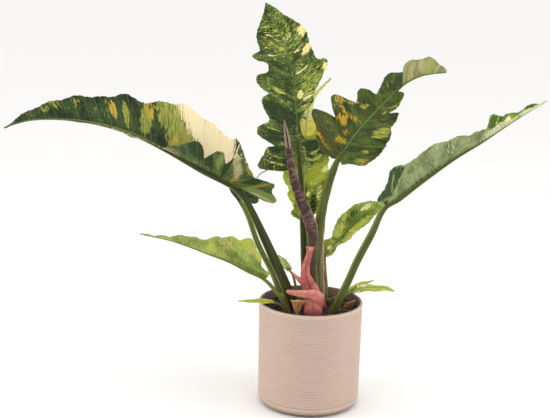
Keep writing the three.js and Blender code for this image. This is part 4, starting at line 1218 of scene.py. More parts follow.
# %% Places on a leaf
def leaf_places(node):
    """Distance out in mm, sweep and distance out as one flat place, distance from a larger vein, and
    the strengths of the marks."""
    spot = node("SeparateXYZ", {0: node("Attribute", None, "Vector", attribute_name="spot")}, None)
    marks = node("Attribute", None, None, attribute_name="marks")
    kinds = node("SeparateColor", {0: marks.outputs["Color"]}, None)
    sweep_mm = spot.outputs[2]
    out_mm = spot.outputs[1]
    flat_place = node("CombineXYZ", {0: sweep_mm, 1: out_mm})
    vein_number = node("Math", {0: sweep_mm, 1: 1 / VEIN_GAP}, **TIMES)
    vein = node("Math", {0: vein_number, 1: 0.5}, operation="PINGPONG")
    strengths = {
        "dark": marks.outputs["Alpha"],
        "lime": kinds.outputs[2],
        "amber": kinds.outputs[1],
        "cream": kinds.outputs[0],
    }
    return out_mm, flat_place, vein, strengths


print("Larger veins are painted every", VEIN_GAP, "mm")

# %% [markdown]
# Under the patches a leaf is green in two tones that drift over some centimetres. Lighter streaks a
# millimetre or two wide run along the veins, and flecks a little finer lie where the green is lightest.
# Both are noise that is drawn out along the veins.

# %% Streaked green
def streaked_green(node, paint, flat_place, vein):
    """The ground colour, and the noise of its streaks."""
    broad_place = node("VectorMath", {0: flat_place, 1: (0.045, 0.035, 1)}, **TIMES)
    broad = node("TexNoise", {"Vector": broad_place, "Scale": 1, "Detail": 4})
    streak_place = node("VectorMath", {0: flat_place, 1: (0.45, 0.07, 1)}, **TIMES)
    streaks = node("TexNoise", {"Vector": streak_place, "Scale": 1, "Detail": 5, "Roughness": 0.65})
    fleck_place = node("VectorMath", {0: flat_place, 1: (0.62, 0.22, 1)}, **TIMES)
    flecks = node("TexNoise", {"Vector": fleck_place, "Scale": 1, "Detail": 3, "Roughness": 0.6})

    tone = node("MapRange", {0: broad, 1: 0.38, 2: 0.62}, **SMOOTH)
    colour = node("Mix", {0: tone, 6: paint["deep"], 7: paint["green"]}, **COLOURS)
    light = node("MapRange", {0: streaks, 1: 0.48, 2: 0.68, 4: paint["streak_share"]}, **SMOOTH)
    colour = node("Mix", {0: light, 6: colour, 7: paint["streak"]}, **COLOURS)

    vein_line = node("MapRange", {0: vein, 1: 0.05, 2: 0.01, 4: 0.3}, **SMOOTH)
    colour = node("Mix", {0: vein_line, 6: colour, 7: paint["rib"]}, **COLOURS)

    many = node("Math", {0: broad, 1: 0.4, 2: flecks}, operation="MULTIPLY_ADD")
    cut = paint["fleck_cut"] + 0.2
    light = node("MapRange", {0: many, 1: cut, 2: cut + 0.05, 4: 0.9}, **SMOOTH)
    colour = node("Mix", {0: light, 6: colour, 7: paint["fleck"]}, **COLOURS)
    return colour, streaks


print("Streaks are about", round(1 / 0.45, 1), "mm wide and", round(1 / 0.07), "mm long")

# %% [markdown]
# Cells that lost their green show as cream, amber or lime patches. Dark patches are partly a deeper
# green of the tissue and partly painted shade: shadows of other leaves, shade on curled lobes and beside
# the midrib.
# Each mark gives a soft spot. Drawn-out noise is added before the spot is cut off, which breaks it up
# into a patch with ragged edges and flecks around it. Inside, a patch is of two tints in streaks.

# %% Patches without green
def patch_share(node, strength, noise, weight, low, high):
    """Where the sum of a soft spot and weighted noise is cut off, and 0 away from the spot."""
    broken = node("Math", {0: noise, 1: weight, 2: strength}, operation="MULTIPLY_ADD")
    patch = node("MapRange", {0: broken, 1: low, 2: high}, **SMOOTH)
    some = node("MapRange", {0: strength, 1: 0.05, 2: 0.25}, **SMOOTH)
    return node("Math", {0: patch, 1: some}, **TIMES)


def patched(node, paint, colour, streaks, flat_place, strengths):
    """The colour with the patches of all four kinds laid over it, the dark ones first."""
    rag_place = node("VectorMath", {0: flat_place, 1: (0.3, 0.1, 1)}, **TIMES)
    ragged = node("TexNoise", {"Vector": rag_place, "Scale": 1, "Detail": 6, "Roughness": 0.7})
    inner = node("MapRange", {0: streaks, 1: 0.38, 2: 0.62}, **SMOOTH)
    # The dark patches laid here are partly painted shade: cast shadows, shaded lobes, beside the midrib.
    for kind, strength in strengths.items():
        patch = patch_share(node, strength, ragged, 3.2, 2.1, 2.3)
        tint = node("Mix", {0: inner, 6: paint[kind], 7: paint[kind + "_too"]}, **COLOURS)
        colour = node("Mix", {0: patch, 6: colour, 7: tint}, **COLOURS)
    return colour


print("Patches are laid in the order dark, lime, amber, cream")

# %% [markdown]
# The upper side has a thin coat of wax, which gives it a soft, broad gloss. The midrib is a pale line,
# the larger veins are sunk, and the streaks stand out from the skin by a fraction of a millimetre.
# Some light passes through the tissue, most of all through a young leaf.

# %% Waxy upper side
def waxy_upper(name, paint):
    """paint holds the colours, the share of streaks, the noise level above which flecks show, and how
    much light passes through."""
    skin, node = new_material(name)
    out_mm, flat_place, vein, strengths = leaf_places(node)
    colour, streaks = streaked_green(node, paint, flat_place, vein)
    colour = patched(node, paint, colour, streaks, flat_place, strengths)

    near_rib = node("Math", {0: out_mm}, operation="ABSOLUTE")
    rib_line = node("MapRange", {0: near_rib, 1: 1.3, 2: 0.5, 4: 0.7}, **SMOOTH)
    colour = node("Mix", {0: rib_line, 6: colour, 7: paint["rib"]}, **COLOURS)

    relief = node("MapRange", {0: vein, 1: 0.0, 2: 0.12}, **SMOOTH)
    relief = node("Math", {0: streaks, 1: 0.6, 2: relief}, operation="MULTIPLY_ADD")
    relief = node("Bump", {"Height": relief, "Strength": 0.4, "Distance": 0.7 * MM})
    tissue = node("BsdfPrincipled", {
        "Base Color": colour, "Roughness": 0.4, "Specular IOR Level": 0.22, "Normal": relief,
        "Subsurface Weight": paint["through"], "Subsurface Radius": (0.0012, 0.0016, 0.0006),
        "Subsurface Scale": 1,
    })
    node("OutputMaterial", {"Surface": tissue}, None)
    return skin


print("Relief of an upper side: up to 0.7 mm")

# %% [markdown]
# The oldest leaves are a deep green, nearly black in their shade, with cream, lime and amber marks.
# The tall leaf is finely speckled, and the leaf right of the middle is olive with golden splashes.

# %% Paints of the dark leaves
DARK_PAINT = dict(
    deep="#1b2b14", green="#344a24", streak="#5b7036", fleck="#97a048", rib="#7c8c46",
    dark="#182712", dark_too="#2c3f1e", lime="#747f36", lime_too="#a9a746",
    amber="#a68a2c", amber_too="#d0b246", cream="#f4dfaa", cream_too="#f8e8c0",
    streak_share=0.5, fleck_cut=0.65, through=0.12,
)
SPECKLED_PAINT = dict(
    DARK_PAINT, deep="#25340f", green="#465e20", streak="#84943a", fleck="#cccc82", rib="#5b7034",
    dark="#1d2c0e", dark_too="#34491c", lime="#83913a", lime_too="#b6b84e",
    cream="#ddd27c", cream_too="#ede2a4", streak_share=0.65, fleck_cut=0.6,
)
OLIVE_PAINT = dict(
    DARK_PAINT, deep="#293711", green="#475a1e", streak="#6f7f2c", fleck="#a3a23a", rib="#76883f",
    dark="#2f330f", dark_too="#60602a", lime="#7f8430", lime_too="#adaf44",
    amber="#a07c1e", amber_too="#d2a638", fleck_cut=0.66,
)
UPPER = {
    "dark": waxy_upper("waxy_dark_leaf", DARK_PAINT),
    "speckled": waxy_upper("waxy_speckled_leaf", SPECKLED_PAINT),
    "olive": waxy_upper("waxy_olive_leaf", OLIVE_PAINT),
}
print("Dark upper skins:", list(UPPER))

# %% [markdown]
# Younger leaves are a fresh yellow green. The one behind the tall leaf is so thin that light shines
# through it, scattered below its surface, and its amber and cream are painted lighter still, as the
# painted light of that glow.

# %% Paints of the pale leaves
PALE_PAINT = dict(
    deep="#58751f", green="#8a9b38", streak="#b3ba58", fleck="#dedd9c", rib="#7d8f3a",
    dark="#2f4a12", dark_too="#587322", lime="#a2aa42", lime_too="#c2c45e",
    amber="#b08a3a", amber_too="#cdb35c", cream="#ddd796", cream_too="#ece6b8",
    streak_share=0.7, fleck_cut=0.62, through=0.2,
)
# Painted light: amber and cream are lightened for the glow of light shining through the leaf.
GLOWING_PAINT = dict(
    PALE_PAINT, deep="#677e20", green="#98a236", streak="#bcc04a", fleck="#e4e292", rib="#bcc470",
    dark="#1d2a0c", dark_too="#374616", lime="#aeb63a", lime_too="#cdd058",
    amber="#f3da68", amber_too="#faea92", cream="#f6eaa0", cream_too="#faf1c8", through=0.6,
)
UPPER["pale"] = waxy_upper("waxy_pale_leaf", PALE_PAINT)
UPPER["glowing"] = waxy_upper("waxy_young_leaf", GLOWING_PAINT)
print("Upper skins:", list(UPPER))

# %% [markdown]
# The underside is duller and greyer, without the wax, with fine pale veins standing out from it. The
# patches of the upper side show through in muted tints, so the same marks are used, cut off softly.
# Its dark ones are partly painted shade.

# %% Dull underside
def dull_underside(name, paint):
    """paint holds the colours of the ground, its streaks and veins, and of each kind of mark."""
    skin, node = new_material(name)
    flat_place, vein, strengths = leaf_places(node)[1:]
    broad_place = node("VectorMath", {0: flat_place, 1: (0.05, 0.04, 1)}, **TIMES)
    broad = node("TexNoise", {"Vector": broad_place, "Scale": 1, "Detail": 3})
    streak_place = node("VectorMath", {0: flat_place, 1: (0.6, 0.12, 1)}, **TIMES)
    streaks = node("TexNoise", {"Vector": streak_place, "Scale": 1, "Detail": 4, "Roughness": 0.6})
    tone = node("MapRange", {0: broad, 1: 0.35, 2: 0.65}, **SMOOTH)
    colour = node("Mix", {0: tone, 6: paint["deep"], 7: paint["green"]}, **COLOURS)
    light = node("MapRange", {0: streaks, 1: 0.48, 2: 0.7, 4: 0.6}, **SMOOTH)
    colour = node("Mix", {0: light, 6: colour, 7: paint["streak"]}, **COLOURS)
    # Here too the dark kind is partly painted shade, most of all on the curled lobes of the largest leaf.
    for kind, strength in strengths.items():
        patch = patch_share(node, strength, streaks, 2.0, 1.3, 1.8)
        colour = node("Mix", {0: patch, 6: colour, 7: paint[kind]}, **COLOURS)
    vein_line = node("MapRange", {0: vein, 1: 0.05, 2: 0.015, 4: 0.3}, **SMOOTH)
    colour = node("Mix", {0: vein_line, 6: colour, 7: paint["vein"]}, **COLOURS)
    relief = node("MapRange", {0: vein, 1: 0.1, 2: 0.0}, **SMOOTH)
    relief = node("Bump", {"Height": relief, "Strength": 0.4, "Distance": 0.5 * MM})
    tissue = node("BsdfPrincipled", {
        "Base Color": colour, "Roughness": 0.62, "Specular IOR Level": 0.2, "Normal": relief,
    })
    node("OutputMaterial", {"Surface": tissue}, None)
    return skin


print("Relief of an underside: up to 0.5 mm")

# %% [markdown]
# The undersides of the two large outer leaves are the darkest and the greyest. The leaf right of the
# middle shows a striped one at its bent tip, and those of the young leaves are fresh or blushed with
# yellow.

# %% Undersides
UNDER_PAINTS = {
    "dark": dict(
        deep="#34431c", green="#536332", streak="#7f8858", vein="#76814f",
        dark="#233a12", lime="#708748", amber="#937a3c", cream="#b3a679",
    ),
    "striped": dict(
        deep="#7a804c", green="#979b60", streak="#adb078", vein="#b3bd84",
        dark="#3c5226", lime="#a5ad68", amber="#bfa25c", cream="#b8a878",
    ),
    "grey": dict(
        deep="#5f6c40", green="#899362", streak="#aeb48a", vein="#a3ae7c",
        dark="#37482a", lime="#92a05a", amber="#b4a468", cream="#c9cba6",
    ),
    "fresh": dict(
        deep="#748a38", green="#99a853", streak="#c5cb8e", vein="#bcc67c",
        dark="#566c2c", lime="#b4ba5a", amber="#bf9c4c", cream="#e4e2b4",
    ),
    "blushed": dict(
        deep="#6f7f34", green="#9cab4e", streak="#cbd292", vein="#c2ca84",
        dark="#5a6d28", lime="#b6b850", amber="#bf9c4c", cream="#c9b570",
    ),
}
UNDER = {kind: dull_underside("dull_" + kind + "_underside", paint) for kind, paint in UNDER_PAINTS.items()}
print("Undersides:", list(UNDER))

# %% [markdown]
# Stalks are smooth and firm, with fine fibres that run along them and short paler flecks. They are
# browner near the soil and paler out where they have become the midrib, and one side is painted
# paler, as a painted highlight. The places come from the fibre attribute of the tube.

# %% Fibrous stalks
def tube_places(node):
    """The fibre attribute, and its parts: the length along, and cosine and sine of the turn round."""
    fibre = node("Attribute", None, "Vector", attribute_name="fibre")
    return fibre, node("SeparateXYZ", {0: fibre}, None).outputs


def fibrous_stalk(name, paint):
    """paint holds its two greens, the paler one of its flecks and of its painted highlight, and that of its
    foot.
    """
    skin, node = new_material(name)
    fibre, parts = tube_places(node)
    long_place = node("VectorMath", {0: fibre, 1: (0.02, 3, 3)}, **TIMES)
    strands = node("TexNoise", {"Vector": long_place, "Scale": 1, "Detail": 5, "Roughness": 0.65})
    fleck_place = node("VectorMath", {0: fibre, 1: (0.3, 5, 5)}, **TIMES)
    flecks = node("TexNoise", {"Vector": fleck_place, "Scale": 1, "Detail": 3})
    along_mm = parts[0]
    tone = node("MapRange", {0: strands, 1: 0.35, 2: 0.65}, **SMOOTH)
    colour = node("Mix", {0: tone, 6: paint["deep"], 7: paint["green"]}, **COLOURS)
    # Painted highlight: one side of the stalk is mixed towards the paler green.
    edge = node("MapRange", {0: parts[2], 1: -0.45, 2: -0.95, 4: 0.75}, **SMOOTH)
    colour = node("Mix", {0: edge, 6: colour, 7: paint["edge"]}, **COLOURS)
    light = node("MapRange", {0: flecks, 1: 0.6, 2: 0.7, 4: 0.3}, **SMOOTH)
    colour = node("Mix", {0: light, 6: colour, 7: paint["edge"]}, **COLOURS)
    low = node("MapRange", {0: along_mm, 1: 60, 2: 18, 4: 0.5}, **SMOOTH)
    colour = node("Mix", {0: low, 6: colour, 7: paint["foot"]}, **COLOURS)
    far = node("MapRange", {0: along_mm, 1: 320, 2: 400, 4: 0.6}, **SMOOTH)
    colour = node("Mix", {0: far, 6: colour, 7: paint["edge"]}, **COLOURS)
    relief = node("Bump", {"Height": strands, "Strength": 0.35, "Distance": 0.5 * MM})
    tissue = node("BsdfPrincipled", {
        "Base Color": colour, "Roughness": 0.45, "Specular IOR Level": 0.22, "Normal": relief,
    })
    node("OutputMaterial", {"Surface": tissue}, None)
    return skin


print("The foot of a stalk is browner for 60 mm")

# %% [markdown]
# The stalks of the large leaves are dark or warm olive, that of the right leaf is a lighter olive, and
# those of the young leaves are green to yellow green.

# %% Colours of the stalks
STALK_PAINTS = {
    "dark": ("olive_stalk", dict(deep="#272a12", green="#454a22", edge="#8a9440", foot="#4b3822")),
    "warm": ("warm_olive_stalk", dict(deep="#3a3f17", green="#5c6628", edge="#8a8a42", foot="#6d4a2e")),
    "olive": ("light_olive_stalk", dict(deep="#343c16", green="#565f2a", edge="#8c984c", foot="#574c2a")),
    "fresh": ("yellow_green_stalk", dict(deep="#586228", green="#808842", edge="#bcc088", foot="#5b562a")),
    "pale": ("green_stalk", dict(deep="#545f28", green="#7a843e", edge="#acb460", foot="#6b6630")),
}
STALK = {kind: fibrous_stalk(name, paint) for kind, (name, paint) in STALK_PAINTS.items()}
print("Stalks:", list(STALK))

# %% [markdown]
# Now every table becomes a leaf: a blade with its two skins, and a stalk. The blade comes first, and
# both stand for the one solid of that leaf.

for name, leaf in LEAVES.items():
    leaf["line"] = Line(leaf["stalk"] + leaf["midrib"], start=len(leaf["stalk"]))
    skins = [UPPER[leaf["paint"]], UNDER[leaf["under"]]]
    settle(lay_blade(leaf), name + "_blade", [name], skins)
    settle(lay_stalk(leaf), name + "_stalk", [name], [STALK[leaf["stalk_paint"]]])
print("Leaves laid:", len(LEAVES))

# %% [markdown]
# ## The sheaths
#
# Each new leaf of this plant comes out of a rolled sheath. A fresh one is coral pink and fleshy, and an
# old one dries to a purple-brown roll that splits and cracks across. They are tubes whose section is
# pinched. One that stays open like a cup has its skin turned in at the top and led down inside again.

# %% Rolled sheaths
FRONT = math.pi / 2
CUP_STEPS = 8
CUP_MOUTH = 0.86
CUP_TAPER = 0.35
CUP_LEAST = 0.6


def near_turn(turn, at, wide):
    """1 at one place round a tube and 0 away from it."""
    apart = np.abs((turn - at + math.pi) % (2 * math.pi) - math.pi)
    return np.exp(-((apart / wide) ** 2))


def lay_roll(points, stations, steps, sides, wide=(1, 0, 0), flat=0.6, shape=None, cup=0):
    """A rolled sheath. stations are pairs of a share of its length and a radius there. cup is how far
    the skin of one with a shape is led down again inside its top, in mm."""
    line = Line(points)
    along = np.linspace(0, line.length, steps + 1)
    shares, radii = np.array(stations, float).T
    radius = np.interp(along / line.length, shares, radii)
    centres = line.at(along)
    if not cup:
        return lay_tube(centres, radius, sides, wide, flat, shape)

    inner = np.linspace(0, cup, CUP_STEPS)
    centres = np.vstack([centres, line.at(line.length - inner)])
    radius = np.concatenate([radius, radius[-1] * CUP_MOUTH - CUP_TAPER * inner])
    whole = 1 + (CUP_STEPS - 1) / steps

    def cup_shape(turn, share):
        return shape(turn, np.minimum(share * whole, 1))

    return lay_tube(centres, np.maximum(radius, CUP_LEAST), sides, wide, flat, cup_shape)


print("A cup is led down inside in", CUP_STEPS, "rings")

# %% [markdown]
# Fleshy pink tissue is coral, redder at its foot, with long fibres, and paler towards its lips. A
# narrow line down its front, the crease of the upright sheath, is painted in its darker tint as painted
# shade. It is moist, so it has a soft gloss, and a little red light passes through it. The places of
# crease and lips come from the fibre attribute of the tube.

# %% Fleshy pink tissue
def fleshy_pink(name, low, high, lips, lips_at, foot):
    """low and high are its two main tints. Lips begin at lips_at mm along it, and the foot's tint ends
    24 mm along it."""
    skin, node = new_material(name)
    fibre, parts = tube_places(node)
    along_mm = parts[0]
    long_place = node("VectorMath", {0: fibre, 1: (0.04, 3.5, 3.5)}, **TIMES)
    strands = node("TexNoise", {"Vector": long_place, "Scale": 1, "Detail": 5, "Roughness": 0.6})
    blotches = node("TexNoise", {"Vector": in_millimetres(node), "Scale": 0.13, "Detail": 3})
    tone = node("MapRange", {0: blotches, 1: 0.35, 2: 0.65}, **SMOOTH)
    colour = node("Mix", {0: tone, 6: low, 7: high}, **COLOURS)
    light = node("MapRange", {0: strands, 1: 0.5, 2: 0.7, 4: 0.45}, **SMOOTH)
    colour = node("Mix", {0: light, 6: colour, 7: lips}, **COLOURS)
    at_foot = node("MapRange", {0: along_mm, 1: 24, 2: 8, 4: 0.8}, **SMOOTH)
    colour = node("Mix", {0: at_foot, 6: colour, 7: foot}, **COLOURS)
    # Painted shade down the crease at the front.
    shade_in_fold = node("MapRange", {0: parts[2], 1: 0.94, 2: 0.998, 4: 0.85}, **SMOOTH)
    colour = node("Mix", {0: shade_in_fold, 6: colour, 7: low}, **COLOURS)
    at_lips = node("MapRange", {0: along_mm, 1: lips_at, 2: lips_at + 4, 4: 0.85}, **SMOOTH)
    colour = node("Mix", {0: at_lips, 6: colour, 7: lips}, **COLOURS)
    relief = node("Bump", {"Height": strands, "Strength": 0.5, "Distance": 0.6 * MM})
    flesh = node("BsdfPrincipled", {
        "Base Color": colour, "Roughness": 0.48, "Specular IOR Level": 0.35, "Normal": relief,
        "Subsurface Weight": 0.15, "Subsurface Radius": (0.002, 0.0007, 0.0005), "Subsurface Scale": 1,
    })
    node("OutputMaterial", {"Surface": flesh}, None)
    return skin


print("Light goes up to 2 mm into pink flesh")

# %% [markdown]
# The fresh sheath stands upright at the front. It is folded in two, with a crease down its front, and
# has thin pale lips where it opened at the top.

# %% Upright pink sheath
def pinched(turn, share):
    """Folded in two: a crease down the front that opens to two lips at the top."""
    at_top = np.clip((share - 0.9) / 0.1, 0, 1)
    crease = near_turn(turn, FRONT, 0.28 + 0.15 * at_top) * (0.36 + 0.45 * at_top)
    flare = 0.35 * at_top**2 * (near_turn(turn, 0, 0.8) + near_turn(turn, math.pi, 0.6))
    return 1 - crease + 0.05 * np.cos(3 * turn + 5 * share) + flare


upright = lay_roll(
    points=[
        [2, -27, 136], [1, -27, 163], [-1, -27, 177], [-5, -27, 188], [-9.5, -27, 201], [-9, -28, 215],
        [-5.5, -30, 230], [-4, -31, 242],
    ],
    stations=[
        (0, 11), (0.22, 13), (0.38, 11.8), (0.47, 9.2), (0.6, 6.9), (0.74, 5.6), (0.9, 4.2), (0.97, 4.5),
        (1, 5),
    ],
    steps=90, sides=56, flat=0.5, shape=pinched, cup=7,
)
pink = fleshy_pink("fleshy_pink_upright", "#94433c", "#bf6a5b", "#dea896", 106, "#8c3c38")
settle(upright, "sheath_pink_upright_roll", ["sheath_pink_upright"], [pink])

# %% [markdown]
# A narrow spur leaves it half way up and tapers to the left. It has no crease.

# %% Spur of the upright sheath
spur = lay_roll(
    points=[[-6, -27, 187], [-13, -28, 190], [-22, -29, 197], [-31, -31, 207]],
    stations=[(0, 7), (0.35, 4.6), (0.6, 2.4), (0.85, 1.2), (1, 0.6)],
    steps=30, sides=20, wide=(0.5, 0, 1), flat=0.4,
)
pale_tip = fleshy_pink("fleshy_pink_spur", "#b4645a", "#cc8072", "#dba894", 30, "#a85850")
settle(spur, "sheath_pink_upright_spur", ["sheath_pink_upright"], [pale_tip])

# %% [markdown]
# In front of it stands the swollen bulb of a second pink sheath, magenta at its foot, with a shallow
# fold down one side.

# %% Bulb of the side sheath
def folded_bulb(turn, share):
    """A little out of round, with a shallow fold beside its front."""
    return 1 + 0.06 * np.cos(2 * turn + 4 * share) - 0.12 * near_turn(turn, FRONT + 0.6, 0.4)


bulb = lay_roll(
    points=[[5, -38, 134], [3, -38, 148], [2.5, -37, 158], [4, -34, 169]],
    stations=[(0, 8), (0.2, 11), (0.45, 13.2), (0.75, 12.4), (0.92, 9), (1, 5)],
    steps=44, sides=44, flat=0.6, shape=folded_bulb,
)
magenta = fleshy_pink("fleshy_pink_bulb", "#a9554c", "#c67a60", "#cf9a80", 60, "#943f66")
settle(bulb, "sheath_pink_side_bulb", ["sheath_pink_side"], [magenta])

# %% [markdown]
# From the bulb the sheath reaches out to the left like a beak. Its upper edge is nearly straight and
# its keel is rounded, as a half-open roll has it.

# %% Beak of the side sheath
def beak(turn, share):
    """Flatter along the upper edge, fuller along the keel."""
    return 1 - 0.25 * near_turn(turn, 0, 0.5) + 0.06 * np.sin(2 * turn)


side = lay_roll(
    points=[
        [12, -33, 157], [10, -37, 168], [3, -41, 175.5], [-9.5, -45, 177.6], [-23, -47, 179.2],
        [-33, -48, 181], [-36.5, -48.5, 182],
    ],
    stations=[
        (0, 8), (0.2, 10.4), (0.36, 8.8), (0.56, 6.6), (0.77, 4.9), (0.9, 3.9), (0.97, 2.8), (1, 1),
    ],
    steps=64, sides=36, wide=(0, 0, 1), flat=0.6, shape=beak,
)
blush = fleshy_pink("fleshy_pink_beak", "#bb6a60", "#d38c7e", "#e3b4a4", 66, "#b05c54")
settle(side, "sheath_pink_side_beak", ["sheath_pink_side"], [blush])

# %% [markdown]
# A long strip clings to the stalk of the leaf right of the middle. It is a sheath that has begun to
# dry: narrow, tan, and puckered along one edge.

# %% Drying strip
def puckered(turn, share):
    """Wrinkled every few millimetres along one edge."""
    return 1 + 0.25 * np.sin(40 * share) * near_turn(turn, 0, 1)


strip = lay_roll(
    points=[[20, 3, 136], [15.6, 7.6, 199], [14.6, 11.6, 243], [18.6, 15.4, 290], [25, 17, 316]],
    stations=[(0, 2.4), (0.4, 2.4), (0.75, 1.9), (1, 0.5)],
    steps=70, sides=12, flat=0.6, shape=puckered,
)
tan = fleshy_pink("drying_pink_strip", "#b06a5c", "#c99480", "#d9b9a0", 150, "#8a5040")
settle(strip, "sheath_pink_strip_roll", ["sheath_pink_strip"], [tan])

# %% [markdown]
# The old sheath stands like a rod. It has shrunk to a lumpy roll, ringed where its skin has cracked
# across. It is split down its front, and the split gapes towards the tip.

# %% Tall old sheath
ROD_SPLIT = 0.8


def split_roll(turn, share):
    """Lumpy and ringed, with a slit beside the front that opens over the last fifth."""
    open_share = np.clip((share - ROD_SPLIT) / 0.08, 0, 1)
    slit = near_turn(turn, FRONT + 0.25, 0.3) * (0.12 + 0.5 * open_share)
    rings = 0.07 * np.sin(150 * share + 3 * np.sin(turn + 4 * share)) * np.clip((share - 0.35) * 8, 0, 1)
    lumps = 0.05 * np.sin(47 * share) + 0.05 * np.sin(3 * turn + 19 * share)
    return 1 - slit + lumps + rings


rod = lay_roll(
    points=[
        [4, -14, 136], [2.5, -15, 190], [1.5, -14, 220], [0.8, -12, 240], [-0.5, -12, 254],
        [-4, -12, 270], [-11, -12, 288], [-20.5, -13, 310], [-30, -15, 336], [-35, -17, 363],
        [-39.5, -18, 390], [-45, -18, 420],
    ],
    stations=[
        (0, 5.4), (0.23, 5.6), (0.31, 5.6), (0.36, 6.4), (0.41, 7.2), (0.47, 8.6), (0.55, 7.8),
        (0.64, 6.1), (0.74, 5.2), (0.84, 5), (0.93, 3.7), (1, 0.8),
    ],
    steps=230, sides=40, flat=0.75, shape=split_roll,
)
print("The old sheath has", len(rod.data.vertices), "points")

# %% [markdown]
# Its skin has dried to a dark purple-brown bark. Long strands run up it, and cracks cross it every few
# millimetres, nearly black in their depth. The skin between them is painted paler, as painted
# highlights. Low down it is still an olive brown.

# %% Cracked skin of the old sheath
old_bark, node = new_material("dried_purple_brown_sheath")
fibre, parts = tube_places(node)
along_mm = parts[0]
long_place = node("VectorMath", {0: fibre, 1: (0.05, 4, 4)}, **TIMES)
strands = node("TexNoise", {"Vector": long_place, "Scale": 1, "Detail": 5, "Roughness": 0.65})
across_place = node("VectorMath", {0: fibre, 1: (0.26, 0.6, 0.6)}, **TIMES)
cracks = node("TexNoise", {"Vector": across_place, "Scale": 1, "Detail": 5, "Roughness": 0.6})
tone = node("MapRange", {0: strands, 1: 0.36, 2: 0.64}, **SMOOTH)
colour = node("Mix", {0: tone, 6: "#2c1614", 7: "#573630"}, **COLOURS)
# Painted highlights on the skin between the cracks.
highlight_between_cracks = node("MapRange", {0: cracks, 1: 0.54, 2: 0.62, 4: 0.55}, **SMOOTH)
colour = node("Mix", {0: highlight_between_cracks, 6: colour, 7: "#8a6a62"}, **COLOURS)
gap = node("MapRange", {0: cracks, 1: 0.46, 2: 0.4, 4: 0.9}, **SMOOTH)
colour = node("Mix", {0: gap, 6: colour, 7: "#170b0a"}, **COLOURS)
low = node("MapRange", {0: along_mm, 1: 130, 2: 85, 4: 0.8}, **SMOOTH)
colour = node("Mix", {0: low, 6: colour, 7: "#4c3f1e"}, **COLOURS)
print("Cracks are about", round(1 / 0.26, 1), "mm apart")

# %% [markdown]
# Along both its sides the roll is a pale pinkish beige. Above the place where the split gapes, a paler
# band frames it at the front, and the slit between is painted nearly black, as painted shade.

# %% Edges and slit of the old sheath
SLIT_START = 250
SLIT_OPEN = 256

sideways = node("Math", {0: parts[1]}, operation="ABSOLUTE")
pale_edge = node("MapRange", {0: sideways, 1: 0.88, 2: 0.98, 4: 0.7}, **SMOOTH)
colour = node("Mix", {0: pale_edge, 6: colour, 7: "#a88c7c"}, **COLOURS)
at_tip = node("MapRange", {0: along_mm, 1: SLIT_START, 2: SLIT_OPEN}, **SMOOTH)
beside_slit = node("Math", {0: parts[1], 1: 0.1}, operation="ADD")
from_slit = node("Math", {0: beside_slit}, operation="ABSOLUTE")
in_front = node("Math", {0: parts[2], 1: 0}, operation="GREATER_THAN")
at_tip = node("Math", {0: at_tip, 1: in_front}, **TIMES)
# The paler band, then nearly black painted shade inside the slit.
for reach, strength, tint in [(0.95, 0.75, "#a8907c"), (0.4, 1, "#1b0d0b")]:
    close = node("MapRange", {0: from_slit, 1: reach, 2: reach - 0.12, 4: strength}, **SMOOTH)
    close = node("Math", {0: close, 1: at_tip}, **TIMES)
    colour = node("Mix", {0: close, 6: colour, 7: tint}, **COLOURS)
relief = node("Math", {0: cracks, 1: 1.5, 2: strands}, operation="MULTIPLY_ADD")
relief = node("Bump", {"Height": relief, "Strength": 0.7, "Distance": 0.8 * MM})
papery = node("BsdfPrincipled", {"Base Color": colour, "Roughness": 0.6, "Normal": relief})
node("OutputMaterial", {"Surface": papery}, None)
settle(rod, "sheath_brown_tall_roll", ["sheath_brown_tall"], [old_bark])

# %% [markdown]
# The oldest sheaths are paper-thin scraps. Each is a small sheet between its foot and its free edge,
# bowed to the front, a little uneven along the top and rippled, then given a thickness. A flare above 1
# keeps it narrow at its foot for longer.

# %% Sheet of a dried scrap
SCRAP_THICKNESS = 0.7


def lay_scrap(foot, top, bulge, flare=1):
    """A sheet from the two corners of its foot to the two of its top, bowed by bulge, in mm."""
    foot_a, foot_b, top_a, top_b = (np.array(corner, float) for corner in foot + top)

    def place(u, v):
        up = (v * (1 - 0.03 * (1 + np.sin(7 * u + 1)) * v))[:, None]
        low = foot_a + (foot_b - foot_a) * u[:, None]
        high = top_a + (top_b - top_a) * u[:, None]
        points = low + (high - low) * up
        points[:, 0] = low[:, 0] + (high - low)[:, 0] * up[:, 0] ** flare
        bow = bulge * np.sin(math.pi * u) * (0.6 + 0.4 * v) + 0.5 * np.sin(14 * u + 5 * v) * v
        points[:, 1] -= bow
        points[:, 0] += 0.5 * np.sin(9 * v + 4 * u)
        edge = np.maximum(np.abs(u - 0.5) * 2, v**2)
        return points, {"fibre": np.stack([v * 30, u * 14, edge], axis=1)}

    scrap = lay_sheet(36, 44, place)
    thicken(scrap, SCRAP_THICKNESS)
    return scrap


print("Scraps are", SCRAP_THICKNESS, "mm thick")

# %% [markdown]
# Dried sheath is matte like paper, tan to orange-brown or a duller brown, with strands from its foot to
# its top and a pale worn edge. The third value of its fibre attribute grows from the middle of the
# sheet to 1 at its edges, which tells where it is worn.

